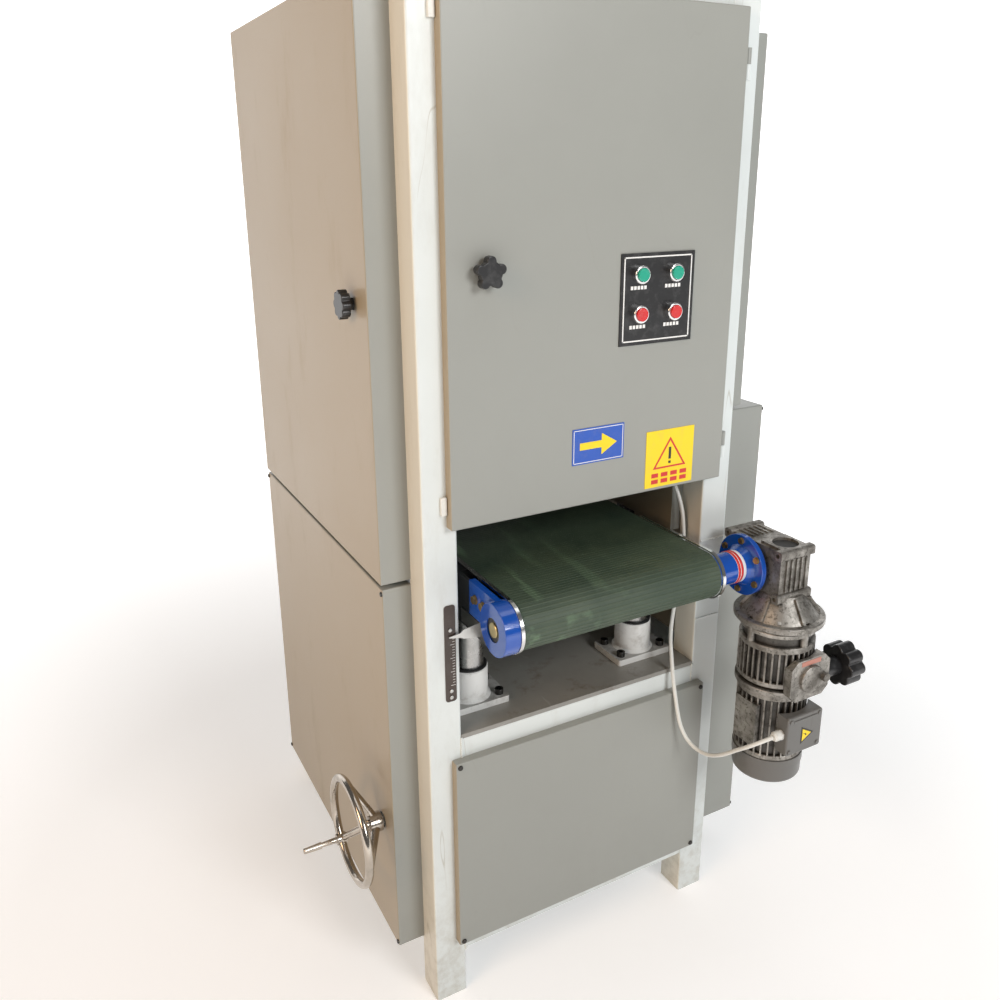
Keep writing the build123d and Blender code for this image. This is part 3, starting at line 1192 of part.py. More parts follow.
def variator():
    """Ribbed variable-speed unit under the flange, and its control block in front."""
    centre = (WORM_X, WORM_Y)
    body = bar("z", centre, VARIATOR_RADIUS - 8, VARIATOR_BOTTOM, MOTOR_FLANGE_Z)
    body += ring_disc(centre, VARIATOR_RADIUS + 1, MOTOR_FLANGE_Z - 14, MOTOR_FLANGE_Z - 6)
    body += ring_disc(centre, VARIATOR_RADIUS, MOTOR_FLANGE_Z - 44, MOTOR_FLANGE_Z - 32)
    body += ring_disc(centre, VARIATOR_RADIUS + 2, VARIATOR_BOTTOM, VARIATOR_BOTTOM + 10)
    body += ring_disc(centre, VARIATOR_RADIUS, VARIATOR_BOTTOM + 16, VARIATOR_BOTTOM + 25)
    for i in range(36):
        fin = block(VARIATOR_RADIUS - 10, VARIATOR_RADIUS, -1.6, 1.6, VARIATOR_BOTTOM + 20, MOTOR_FLANGE_Z - 40)
        body += Pos(WORM_X, WORM_Y, 0) * Rot(0, 0, 10 * i) * fin
    for i in range(4):
        spot = on_circle(centre, VARIATOR_RADIUS - 4, 90 * i)
        body += bar("z", spot, 7, MOTOR_FLANGE_Z - 32, MOTOR_FLANGE_Z)
    x0, x1 = WORM_X - 35, WORM_X + CONTROL_RIGHT
    front = WORM_Y - VARIATOR_RADIUS - 8
    low, high = VARIATOR_BOTTOM - 5, VARIATOR_BOTTOM + 75
    control = block(x0, x1, front, WORM_Y - 20, low, high)
    corners = control.edges().filter_by(Axis.Y)
    control = chamfer(corners, 14)
    control -= bar("z", centre, VARIATOR_RADIUS + 2, low - 1, high + 1)
    cap = bar("y", (WORM_X + 12, KNOB_AXIS_Z + 12), 26, front - 6, front + 1)
    control += fillet(cap.edges().group_by(Axis.Y)[0], 2)
    control += bar("y", (WORM_X + 38, KNOB_AXIS_Z + 12), 8, front - 14, front + 1)
    control += bar("x", (KNOB_AXIS_Y, KNOB_AXIS_Z), 15, x1 - 8, x1 + 6)
    return body, control - hole("x", (KNOB_AXIS_Y, KNOB_AXIS_Z), 8 + BEARING_FIT, x1 - 20, x1 + 7)


def ring_disc(centre, radius, low, high):
    """Round collar with eased edges."""
    disc = bar("z", centre, radius, low, high)
    return fillet(disc.edges().filter_by(GeomType.CIRCLE), 1.5)


def variator_knob():
    """Black lobed speed knob on the control block's right side, with its stub shaft."""
    start = WORM_X + CONTROL_RIGHT + 6 + SPEED_KNOB_GAP
    plane = Plane(origin=(start, KNOB_AXIS_Y, KNOB_AXIS_Z), x_dir=(0, 0, 1), z_dir=(1, 0, 0))
    head = star_knob(SPEED_KNOB_RADIUS, 8, SPEED_KNOB_THICKNESS, SPEED_KNOB_NECK)
    stub = Cylinder(8, 10, align=(Align.CENTER, Align.CENTER, Align.MAX))
    return plane * (head + stub)


def drive_motor():
    """Finned motor body under the variator."""
    centre = (WORM_X, WORM_Y)
    body = bar("z", centre, MOTOR_RADIUS - 8, FAN_COVER_TOP, VARIATOR_BOTTOM)
    body += ring_disc(centre, MOTOR_RADIUS, VARIATOR_BOTTOM - 12, VARIATOR_BOTTOM)
    body += ring_disc(centre, MOTOR_RADIUS - 2, FAN_COVER_TOP, FAN_COVER_TOP + 10)
    for i in range(32):
        fin = block(MOTOR_RADIUS - 10, MOTOR_RADIUS - 1, -1.4, 1.4, FAN_COVER_TOP + 5, VARIATOR_BOTTOM - 6)
        body += Pos(WORM_X, WORM_Y, 0) * Rot(0, 0, 11.25 * i) * fin
    low, high = FAN_COVER_TOP + 24, VARIATOR_BOTTOM - 26
    pad = block(WORM_X - MOTOR_RADIUS + 1, WORM_X - 30, WORM_Y - 26, WORM_Y + 26, low, high)
    return body + pad


def fan_cover():
    """Stepped pressed cover under the motor."""
    centre = (WORM_X, WORM_Y)
    cover = bar("z", centre, MOTOR_RADIUS, MOTOR_BOTTOM + 32, FAN_COVER_TOP)
    lower = bar("z", centre, MOTOR_RADIUS - 1.5, MOTOR_BOTTOM, MOTOR_BOTTOM + 33)
    cover += fillet(lower.edges().group_by(Axis.Z)[0], 9)
    for radius in (22, 32, 42):
        cover -= tube("z", centre, radius + 2.5, radius - 2.5, MOTOR_BOTTOM - 1, MOTOR_BOTTOM + 5)
    return cover


def terminal_box():
    """Terminal box on the motor's front, with its lid and four lid screws."""
    x0, x1 = WORM_X - 37, WORM_X + 48
    z0, z1 = FAN_COVER_TOP + 26, FAN_COVER_TOP + 104
    front = WORM_Y - 80
    box = block(x0 + 1, x1 - 1, front + LID_THICKNESS, WORM_Y - 25, z0 + 2, z1 - 2)
    box -= bar("z", (WORM_X, WORM_Y), MOTOR_RADIUS + 0.3, z0 - 1, z1 + 1)
    lid = block(x0, x1, front, front + LID_THICKNESS, z0, z1)
    lid = fillet(lid.edges().filter_by(Axis.Y), 6)
    lid = fillet(lid.edges().group_by(Axis.Y)[0], 3)
    for x in (x0 + 8, x1 - 8):
        for z in (z0 + 8, z1 - 8):
            lid += bar("y", (x, z), 4, front - 1.8, front + 2)
    box += lid
    return box


def cable_gland():
    """Hexagon gland on the terminal box's left side that the cable comes out of."""
    x1 = WORM_X - 36
    y, z = CABLE_POINTS[0][1], CABLE_POINTS[0][2]
    x0 = CABLE_POINTS[0][0]
    plane = Plane(origin=(x1 - 6, y, z), z_dir=(1, 0, 0))
    gland = plane * extrude(RegularPolygon(9.8, 6), 6)
    gland += bar("x", (y, z), 9, x0 + 4, x1 - 5)
    return gland + bar("x", (y, z), 6.5, x0, x0 + 5, 9)


def cable_path():
    """Straight runs joined by tangent arcs, each arc as large as its runs allow."""
    points = [Vector(*p) for p in CABLE_POINTS]
    radii = []
    for before, here, after in zip(points, points[1:], points[2:]):
        first = here - before
        second = after - here
        turn = math.radians(first.get_angle(second))
        radii.append(0.45 * min(first.length, second.length) / math.tan(turn / 2))
    return FilletPolyline(*points, radius=radii), radii


def motor_cable():
    """White motor cable from the gland, down in a bow and up inside the frame."""
    path, radii = cable_path()
    section = Plane(origin=path @ 0, z_dir=path % 0) * Circle(CABLE_RADIUS)
    cable = sweep(section, path=path)
    expected = math.pi * CABLE_RADIUS**2 * path.length
    print("cable radii", [round(r) for r in radii])
    print("cable volume", round(cable.volume), "section x length", round(expected))
    return cable


# ---------------------------------------------------------------- assembly
keep("corner_posts", *corner_posts())
keep("frame_rails", *frame_rails())
keep("deck_plate", deck_plate())
keep("column_sleeves", *column_sleeves())
keep("frame_screws", *frame_screws(), *side_screws(), *scale_rivets())
keep("lower_front_panel", lower_front_panel())
keep("closing_panels", *closing_panels())
keep("left_lower_cover", left_lower_cover())
keep("belt_guard", belt_guard())
keep("scale_plate", scale_plate())
keep("door_hardware", *door_hardware())
keep("cheek_plates", *cheek_plates())
keep("drum_bearings", *drum_bearings())
keep("dust_hood", *dust_hood())
keep("main_motor", main_motor())
keep("drive_belts", *drive_belts())
keep("lift_gearboxes", *lift_gearboxes())

keep("front_door", front_door())
keep("control_plate", control_plate())
keep("direction_sign", thin_plate(SIGN_BOX))
keep("warning_plate", thin_plate(WARNING_BOX))
keep("button_bezels", *[button_bezel(x, z) for x in BUTTON_X for z in BUTTON_Z])
keep("left_start_button", push_button(BUTTON_X[0], BUTTON_Z[0]))
keep("right_start_button", push_button(BUTTON_X[1], BUTTON_Z[0]))
keep("left_stop_button", push_button(BUTTON_X[0], BUTTON_Z[1]))
keep("right_stop_button", push_button(BUTTON_X[1], BUTTON_Z[1]))
keep("left_door", side_door("left"))
keep("right_door", side_door("right"))
knobs()

keep("sanding_drum", *sanding_drum())
drum_centre = (MIDDLE_Y, DRUM_Z)
drum_left = BELT_CENTRE - DRUM_WIDTH / 2
keep("abrasive_sleeve", tube("x", drum_centre, DRUM_RADIUS, DRUM_RADIUS - ABRASIVE, drum_left, drum_left + DRUM_WIDTH))
keep("infeed_roller", hold_roller(-1))
keep("outfeed_roller", hold_roller(1))
keep("motor_rotor", *motor_rotor())

keep("handwheel", *handwheel())
keep("handwheel_shaft", handwheel_shaft())
keep("lift_shaft", lift_shaft())
keep("lift_nut", lift_nut())

keep("bed_plate", *bed_plate())
keep("bed_frame", *bed_frame())
keep("column_rods", *column_rods())
keep("lift_screw", bar("z", (LIFT_X, MIDDLE_Y), SCREW_RADIUS, SCREW_BOTTOM, BED_SIDE_BOTTOM))
keep(
    "bearing_arms",
    bearing_arm(True, FRONT_ROLLER_Y, 1), bearing_arm(True, REAR_ROLLER_Y, -1), bearing_arm(False, REAR_ROLLER_Y, -1),
)
keep("roller_bearings", *roller_bearings())
keep("drive_bracket", drive_bracket())
keep("drive_bolts", *drive_bolts())
keep("conveyor_belt", conveyor_belt())
keep("drive_roller", table_roller(FRONT_ROLLER_Y, BED_LEFT + BED_SIDE - ARM_BOSS_THICKNESS, GEARBOX_RIGHT - 2))
keep("idler_roller", table_roller(REAR_ROLLER_Y, bearing_x(True)[0], bearing_x(False)[1]))
keep("scale_pointer", scale_pointer())
keep("gearbox_housing", gearbox_housing())
keep("variator", *variator())
keep("variator_knob", variator_knob())
keep("drive_motor", drive_motor())
keep("fan_cover", fan_cover())
keep("terminal_box", terminal_box())
keep("cable_gland", cable_gland())
keep("motor_cable", motor_cable())

if __name__ == "__main__":
    os.makedirs("parts", exist_ok=True)
    for name, solids in nodes.items():
        shape = Compound(children=[solid for piece in solids for solid in piece.solids()])
        export_step(shape.moved(Location((-CENTRE_X, -CENTRE_Y, 0))), "parts/" + name + ".step")
    print(len(nodes), "nodes")
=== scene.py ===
# %% [markdown]
# # Drum sander
# A workshop drum sander: boards ride on a green belt under a turning drum inside a sheet-metal cabinet. The
# engineering model already holds every moving part at its true size. This lesson adds the looks: paint,
# rubber, castings, turned steel, weld seams, belt ribs, the motor cable, printed plates, light and a
# camera.

# %% Load the fixed frame
import bpy
import bmesh
import math
from mathutils import Matrix, Vector


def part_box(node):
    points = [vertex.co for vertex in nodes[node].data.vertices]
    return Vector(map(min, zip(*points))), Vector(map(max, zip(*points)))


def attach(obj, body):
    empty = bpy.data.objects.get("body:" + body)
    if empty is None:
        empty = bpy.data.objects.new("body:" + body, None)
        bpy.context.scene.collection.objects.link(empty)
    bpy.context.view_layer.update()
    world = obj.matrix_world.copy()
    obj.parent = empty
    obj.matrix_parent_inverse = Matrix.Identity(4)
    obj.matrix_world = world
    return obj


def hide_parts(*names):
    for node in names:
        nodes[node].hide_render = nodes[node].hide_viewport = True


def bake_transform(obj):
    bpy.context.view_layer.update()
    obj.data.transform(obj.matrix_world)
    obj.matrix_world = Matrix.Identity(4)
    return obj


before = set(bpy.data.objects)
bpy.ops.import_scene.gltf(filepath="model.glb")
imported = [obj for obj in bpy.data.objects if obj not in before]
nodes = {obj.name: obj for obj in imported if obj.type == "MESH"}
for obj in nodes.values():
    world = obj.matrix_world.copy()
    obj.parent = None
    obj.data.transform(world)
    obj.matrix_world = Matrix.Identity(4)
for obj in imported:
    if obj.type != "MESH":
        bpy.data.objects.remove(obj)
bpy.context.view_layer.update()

# %% [markdown]
# ## The camera first
# The machine is seen from its left front corner, from a little above a standing person's eye. A camera in
# Blender looks down its own -Z axis, so it starts level with 90 degrees about X, is tipped down, and is
# then turned about Z. The vertical shift keeps the machine in the picture without tipping the camera
# further, which would make the posts lean.

# %% Camera
MM = 0.001
post_low, post_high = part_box("corner_posts")
CORNER = Vector((post_low[0], post_low[1], 0))
EYE = CORNER + Vector((-510.2, -1198.6, 1460.4)) * MM
TURN_RIGHT = 28.39
LOOK_DOWN = 17.09
ROLL = -0.37

camera_data = bpy.data.cameras.new("camera")
camera_data.lens = 32.58
camera_data.sensor_width = 36
camera_data.shift_y = -0.0493
camera_data.clip_end = 60
camera = bpy.data.objects.new("camera", camera_data)
camera.location = EYE
turn = Matrix.Rotation(math.radians(-TURN_RIGHT), 4, "Z")
tip = Matrix.Rotation(math.radians(90 - LOOK_DOWN), 4, "X")
roll = Matrix.Rotation(math.radians(ROLL), 4, "Z")
camera.matrix_world = Matrix.Translation(EYE) @ turn @ tip @ roll
bpy.context.scene.collection.objects.link(camera)
bpy.context.scene.camera = camera
print("camera at", [round(v, 3) for v in EYE])

# %% [markdown]
# ## Node maths that reads like sums
# A material is a graph of nodes. Written node by node it is long and hard to read, so a small class wraps a
# socket: adding or multiplying two wrapped sockets adds the Math node that does it. The second class makes
# one material and has one method that adds any other node.

# %% Sockets that add and multiply
class Value:
    """A number that changes over the surface."""

    def __init__(self, tree, socket):
        self.tree = tree
        self.socket = socket

    def math(self, operation, first, second):
        node = self.tree.nodes.new("ShaderNodeMath")
        node.operation = operation
        for slot, value in zip(node.inputs, (first, second)):
            if isinstance(value, Value):
                self.tree.links.new(value.socket, slot)
            else:
                slot.default_value = value
        return Value(self.tree, node.outputs[0])

    def __add__(self, other):
        return self.math("ADD", self, other)

    def __radd__(self, other):
        return self.math("ADD", other, self)

    def __sub__(self, other):
        return self.math("SUBTRACT", self, other)

    def __rsub__(self, other):
        return self.math("SUBTRACT", other, self)

    def __mul__(self, other):
        return self.math("MULTIPLY", self, other)

    def __rmul__(self, other):
        return self.math("MULTIPLY", other, self)


# %% One finish, made of nodes
class Finish:
    """A material on Object coordinates, in metres."""

    def __init__(self, name):
        self.material = bpy.data.materials.new(name)
        self.material.use_nodes = True
        self.tree = self.material.node_tree
        self.shader = self.tree.nodes["Principled BSDF"]
        self.place = self.add("ShaderNodeTexCoord", output="Object")

    def add(self, kind, settings=None, inputs=None, output=0):
        """Adds a node; settings are set first, then the values or links of its sockets."""
        node = self.tree.nodes.new(kind)
        for key, value in (settings or {}).items():
            if key == "stops":
                ramp = node.color_ramp
                while len(ramp.elements) < len(value):
                    ramp.elements.new(0.5)
                for element, (position, level) in zip(ramp.elements, value):
                    element.position = position
                    element.color = (level, level, level, 1)
            else:
                setattr(node, key, value)
        for key, value in (inputs or {}).items():
            self.put(node.inputs[key], value)
        return Value(self.tree, node.outputs[output])

    def put(self, socket, value):
        """Links a wrapped socket, or sets a constant."""
        if isinstance(value, Value):
            self.tree.links.new(value.socket, socket)
        else:
            socket.default_value = value

    def stretched(self, scale):
        """Object coordinates stretched by three factors."""
        return self.add("ShaderNodeMapping", inputs={"Vector": self.place, "Scale": scale})

    def noise(self, scale, detail=4, rough=0.55, stretch=None):
        """Soft random value; scale is in features per metre."""
        where = self.stretched(stretch) if stretch else self.place
        inputs = {"Vector": where, "Scale": scale, "Detail": detail, "Roughness": rough}
        return self.add("ShaderNodeTexNoise", inputs=inputs)

    def ramp(self, value, *stops):
        """Remaps a value through black-to-white stops."""
        return self.add("ShaderNodeValToRGB", {"stops": stops}, {"Fac": value})

    def along(self, axis):
        """One coordinate, in metres."""
        return self.add("ShaderNodeSeparateXYZ", inputs={"Vector": self.place}, output=axis)

    def mix(self, amount, first, second):
        """Colour between two colours."""
        node = self.tree.nodes.new("ShaderNodeMix")
        node.data_type = "RGBA"
        for socket, value in zip((node.inputs[0], node.inputs[6], node.inputs[7]), (amount, first, second)):
            if isinstance(value, tuple):
                value = (*value, 1)
            self.put(socket, value)
        return Value(self.tree, node.outputs[2])

    def bump(self, height, depth, strength=1.0):
        """Surface detail too small to model; depth is in metres."""
        inputs = {"Height": height, "Distance": depth, "Strength": strength}
        self.put(self.shader.inputs["Normal"], self.add("ShaderNodeBump", inputs=inputs))

    def surface(self, **values):
        """Sets the shader's own sockets: base, rough, metal, coat."""
        names = {"base": "Base Color", "rough": "Roughness", "metal": "Metallic", "coat": "Coat Weight"}
        for key, value in values.items():
            if isinstance(value, tuple):
                value = (*value, 1)
            self.put(self.shader.inputs[names[key]], value)
        return self.material


# %% [markdown]
# ## Paint
# Machine paint is never one colour. It is a little uneven, dust settles on it, hands and boards rub it, and
# dirt gathers near the floor. One function makes every paint: wide soft patches, fine speckle, thin
# scratches and grime at the bottom, with an orange-peel bump. On the white and grey paint, faces that look
# left also get a painted warm window light. The worn masks are thresholds on stretched noise.

# %% Painted sheet and tube
def scratches(finish, scale, stretch, width):
    """Thin random lines: a narrow band cut out of stretched noise, broken up by a second noise."""
    lines = finish.ramp(finish.noise(scale, 2, 0.4, stretch), (0.5 - width, 0), (0.5, 1), (0.5 + width, 0))
    broken = finish.ramp(finish.noise(scale * 0.35, 3), (0.54, 0), (0.62, 1))
    return lines * broken


def paint(name, colour, worn, rough, patches=0.05, wear=0.3, grime=0.35, peel=0.00012, window_light_tint=None):
    """Enamel or powder coat with patches, scratches and a dirty foot; faces that look left may get a painted
    warm window light.
    """
    finish = Finish(name)
    wide = finish.noise(3.2, 5, 0.6)
    fine = finish.noise(260, 2)
    darker = tuple(c * (1 - 2.4 * patches) for c in colour)
    lighter = tuple(min(1, c * (1 + patches)) for c in colour)
    base = finish.mix(finish.ramp(wide, (0.3, 0), (0.7, 1)), darker, lighter)
    # Painted light: faces turned to the left (-X), toward the warm window lamp, take a tan tint in their
    # colour whatever pose the part is in, so an opened door may turn tan too.
    if window_light_tint:
        facing = finish.add("ShaderNodeNewGeometry", output="Normal")
        facing_window_light = finish.add("ShaderNodeSeparateXYZ", inputs={"Vector": facing}, output=0) * -1.0
        base = finish.mix(finish.ramp(facing_window_light, (0.6, 0), (0.9, 1)) * (0.85 + 0.15 * wide), base, window_light_tint)
    smears = finish.ramp(finish.noise(9, 6, 0.7, (1, 1, 0.35)), (0.56, 0), (0.74, 1))
    base = finish.mix(smears * (grime * 0.45), base, worn)
    foot = finish.ramp(finish.along(2), (0.0, 1), (0.35, 0))
    spots = finish.ramp(finish.noise(38, 6, 0.7), (0.45, 0), (0.68, 1))
    base = finish.mix(foot * spots * grime, base, worn)
    lines = scratches(finish, 14, (1, 1, 0.15), 0.004) * wear
    base = finish.mix(lines, base, worn)
    finish.bump(fine + 0.6 * finish.noise(900, 1), peel, 0.55)
    return finish.surface(base=base, rough=rough + 0.12 * smears + 0.1 * (wide - 0.5))


# The last colour given to the white and grey paint is the painted warm window light on faces that look left.
white_paint = paint(
    "white_enamel", (0.69, 0.73, 0.72), (0.34, 0.30, 0.22), 0.34, 0.03, 0.5, 0.45, window_light_tint=(0.70, 0.66, 0.56),
)
grey_paint = paint(
    "warm_grey_coat", (0.305, 0.313, 0.289), (0.20, 0.19, 0.16), 0.36, 0.012, 0.08, 0.08,
    window_light_tint=(0.36, 0.288, 0.19),
)
dark_paint = paint("dark_grey_enamel", (0.075, 0.08, 0.085), (0.03, 0.03, 0.03), 0.4, 0.08)
motor_paint = paint("motor_grey", (0.145, 0.142, 0.134), (0.07, 0.06, 0.05), 0.34, 0.06, 0.4, 0.6)
blue_enamel = paint("blue_enamel", (0.004, 0.075, 0.42), (0.03, 0.05, 0.12), 0.16, 0.06, 0.25, 0.25, 0.0001)
blue_enamel.node_tree.nodes["Principled BSDF"].inputs["Coat Weight"].default_value = 0.7
print("paints made")

# %% [markdown]
# ## The deck
# Boards, dust and tools have rubbed the deck's grey paint down. Its finish is the paint again, with many
# more scratches in two directions, rusty stains, and a duller, more uneven gloss.

# %% Worn deck
def worn_deck():
    """Grey deck paint, scratched both ways, with stains."""
    finish = Finish("worn_deck_paint")
    base = finish.mix(finish.noise(5, 6, 0.65), (0.17, 0.165, 0.15), (0.36, 0.35, 0.32))
    stains = finish.ramp(finish.noise(16, 7, 0.7), (0.56, 0), (0.72, 1))
    base = finish.mix(stains * 0.6, base, (0.12, 0.085, 0.055))
    lines = scratches(finish, 30, (1, 0.2, 1), 0.008) + scratches(finish, 26, (0.2, 1, 1), 0.006)
    base = finish.mix(lines * 0.5, base, (0.42, 0.41, 0.39))
    finish.bump(finish.noise(120, 5, 0.6) + 0.5 * lines, 0.0003, 0.5)
    return finish.surface(base=base, rough=0.3 + 0.35 * stains)


deck_paint = worn_deck()


def sleeve_paint():
    """White enamel on the sleeves, rubbed down to grey steel on top of their flanges."""
    finish = Finish("worn_sleeve_enamel")
    low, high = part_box("column_sleeves")
    dirt = finish.ramp(finish.noise(24, 6, 0.7), (0.52, 0), (0.70, 1))
    base = finish.mix(dirt * 0.5, (0.78, 0.78, 0.76), (0.33, 0.30, 0.26))
    facing = finish.add("ShaderNodeNewGeometry", output="Normal")
    up = finish.add("ShaderNodeSeparateXYZ", inputs={"Vector": facing}, output=2)
    near_foot = finish.ramp(finish.along(2) - low[2], (0.02, 1), (0.04, 0))
    flange = finish.ramp(up, (0.7, 0), (0.95, 1)) * near_foot
    base = finish.mix(flange * (0.65 + 0.35 * dirt), base, (0.20, 0.19, 0.175))
    finish.bump(finish.noise(240, 4), 0.00025, 0.5)
    return finish.surface(base=base, rough=0.36 + 0.15 * dirt)


sleeve_enamel = sleeve_paint()

# %% [markdown]
# ## Metals
# Three metals carry the drive: raw castings, turned or ground steel, and polished steel. A casting is dull
# and grainy; on the finned ones, painted shade darkens the gaps between the fins. Turned steel shows fine
# rings round its axis, which come from noise that is stretched along the rings. Bolts are yellow-passivated
# and stained with rust.

# %% Castings
def casting(name, axis=None, fin_foot=0.0, fin_tip=0.0):
    """Raw die-cast aluminium with a grainy skin; with an axis, painted shade darkens the gaps between its
    fins.
    """
    finish = Finish(name)
    patches = finish.ramp(finish.noise(22, 6, 0.65), (0.35, 0), (0.7, 1))
    base = finish.mix(patches, (0.14, 0.13, 0.115), (0.47, 0.45, 0.415))
    specks = finish.ramp(finish.noise(120, 4, 0.7), (0.52, 0), (0.64, 1))
    base = finish.mix(specks * 0.7, base, (0.06, 0.054, 0.044))
    if axis:
        # Painted shade: the nearer a point lies to the axis, down in the gaps between the fins, the darker
        # its colour.
        flat = finish.add("ShaderNodeMapping", inputs={
            "Vector": finish.place, "Location": (-axis[0], -axis[1], 0), "Scale": (1, 1, 0)})
        away = finish.add("ShaderNodeVectorMath", {"operation": "LENGTH"}, {0: flat}, "Value")
        depth = (away - fin_foot) * (1 / (fin_tip - fin_foot))
        base = finish.mix(finish.ramp(depth, (0.25, 1), (0.75, 0)) * 0.8, base, (0.045, 0.043, 0.04))
    finish.bump(finish.noise(700, 3, 0.6) + 1.5 * finish.noise(110, 2), 0.00035, 0.6)
    return finish.surface(base=base, rough=0.32 + 0.22 * (1 - patches), metal=0.78)


# %% Turned, polished and plated steel
def steel(name, colour, rough, stretch, tarnish=0.2, grain=0.00006):
    """Bare steel with fine tool marks and a little tarnish."""
    finish = Finish(name)
    marks = finish.noise(420, 3, 0.6, stretch)
    dull = finish.ramp(finish.noise(26, 6, 0.68), (0.45, 0), (0.72, 1))
    dark = tuple(c * 0.45 for c in colour)
    base = finish.mix(dull * tarnish, colour, dark)
    finish.bump(marks, grain, 0.5)
    return finish.surface(base=base, rough=rough + 0.18 * dull + 0.1 * (marks - 0.5), metal=1.0)


fan_low, fan_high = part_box("fan_cover")
drive_axis = ((fan_low[0] + fan_high[0]) / 2, (fan_low[1] + fan_high[1]) / 2)
cast_aluminium = casting("raw_casting")
finned_variator = casting("finned_variator", drive_axis, 0.0585, 0.067)
finned_motor = casting("finned_motor", drive_axis, 0.0555, 0.063)
turned_steel = steel("turned_steel", (0.56, 0.56, 0.54), 0.3, (1, 0.08, 0.08))
ground_rod = steel("ground_rod", (0.42, 0.42, 0.41), 0.26, (0.08, 0.08, 1), 0.45)
polished_steel = steel("polished_steel", (0.74, 0.74, 0.73), 0.14, (1, 1, 1), 0.25)
# The handwheel's warm tint is a painted reflection of the tan door beside it; the tarnish is the steel's own.
wheel_steel = steel("handwheel_steel", (0.50, 0.45, 0.39), 0.15, (1, 1, 1), 0.45)
plated_bolts = steel("yellow_plated_bolts", (0.46, 0.33, 0.13), 0.34, (1, 1, 1), 0.8)
black_steel = steel("black_steel", (0.07, 0.068, 0.065), 0.3, (1, 1, 1), 0.4)
brassy_steel = steel("brassy_journal", (0.50, 0.42, 0.22), 0.3, (1, 1, 1), 0.6)
bezel_chrome = steel("bezel_chrome", (0.82, 0.82, 0.82), 0.12, (1, 1, 1), 0.1)
print("metals made")

# %% [markdown]
# ## Rubber, abrasive and plastic
# The belt is dark green rubber with pale dust on it and slanting stretch marks near its left edge. The drum
# is wrapped in brown abrasive cloth whose grit is a fine cell pattern. Knobs are black moulded plastic; the
# buttons are shiny.

# %% Belt, rubber and grit
def belt_rubber(name, dark, light):
    """Green rubber, dusty, with slanted pale marks."""
    finish = Finish(name)
    low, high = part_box("conveyor_belt")
    across = (finish.along(0) - low[0]) * (1 / (high[0] - low[0]))
    dust = finish.ramp(finish.noise(7, 6, 0.62), (0.35, 0), (0.75, 1))
    base = finish.mix(dust, dark, light)
    slanted = finish.add("ShaderNodeMapping", inputs={
        "Vector": finish.place, "Rotation": (0, 0, math.radians(38)), "Scale": (1, 0.16, 1)})
    marks = finish.add("ShaderNodeTexNoise", inputs={"Vector": slanted, "Scale": 30, "Detail": 3})
    marks = finish.ramp(marks, (0.55, 0), (0.66, 1)) * finish.ramp(across, (0.05, 1), (0.6, 0))
    base = finish.mix(marks * 0.42, base, (0.16, 0.26, 0.15))
    finish.bump(finish.noise(600, 3, 0.6) + 2.5 * marks, 0.0003, 0.6)
    return finish.surface(base=base, rough=0.55 - 0.12 * dust)


def grit():
    """Abrasive cloth: packed grains on a brown ground."""
    finish = Finish("abrasive_cloth")
    inputs = {"Vector": finish.place, "Scale": 900}
    grains = finish.add("ShaderNodeTexVoronoi", inputs=inputs)
    base = finish.mix(finish.ramp(grains, (0.1, 0), (0.6, 1)), (0.10, 0.04, 0.02), (0.36, 0.17, 0.08))
    base = finish.mix(finish.ramp(finish.noise(12, 4), (0.5, 0), (0.8, 1)) * 0.5, base, (0.50, 0.38, 0.25))
    finish.bump(grains, 0.0004, 0.8)
    return finish.surface(base=base, rough=0.85)


# %% Moulded plastic
def plastic(name, colour, rough, grain=0.00008, coat=0.0):
    """Moulded plastic with a fine spark-eroded grain and slight dust."""
    finish = Finish(name)
    dust = finish.ramp(finish.noise(60, 5, 0.7), (0.5, 0), (0.75, 1))
    dusty = tuple(min(1, c * 0.85 + 0.035) for c in colour)
    finish.bump(finish.noise(1400, 2), grain, 0.5)
    return finish.surface(base=finish.mix(dust, colour, dusty), rough=rough + 0.12 * dust, coat=coat)


green_rubber = belt_rubber("belt_rubber", (0.030, 0.052, 0.034), (0.070, 0.100, 0.062))
rib_rubber = belt_rubber("rib_rubber", (0.032, 0.055, 0.033), (0.072, 0.096, 0.056))
abrasive = grit()
black_rubber = plastic("black_rubber", (0.018, 0.018, 0.018), 0.62, 0.0002)
black_plastic = plastic("black_moulding", (0.014, 0.014, 0.015), 0.3)
white_sheath = plastic("white_sheath", (0.74, 0.74, 0.70), 0.38)
green_button = plastic("green_button", (0.0, 0.34, 0.22), 0.22, coat=0.4)
red_button = plastic("red_button", (0.60, 0.012, 0.012), 0.22, coat=0.4)
plate_black = plastic("black_plate", (0.012, 0.012, 0.013), 0.35)
print_white = plastic("white_print", (0.82, 0.82, 0.80), 0.4)
print_red = plastic("red_print", (0.62, 0.02, 0.015), 0.35)
sign_blue = plastic("blue_sign", (0.012, 0.085, 0.46), 0.3)
sign_yellow = plastic("yellow_sign", (0.90, 0.66, 0.0), 0.34)
faded_red = plastic("faded_red", (0.48, 0.20, 0.15), 0.45)
scale_bronze = plastic("bronze_scale", (0.055, 0.038, 0.030), 0.34)
print("rubbers and plastics made")

# %% [markdown]
# ## Give each sub-part its finish
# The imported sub-parts keep their shape. Only the material in their slots changes, so one table from finish
# to names is enough.

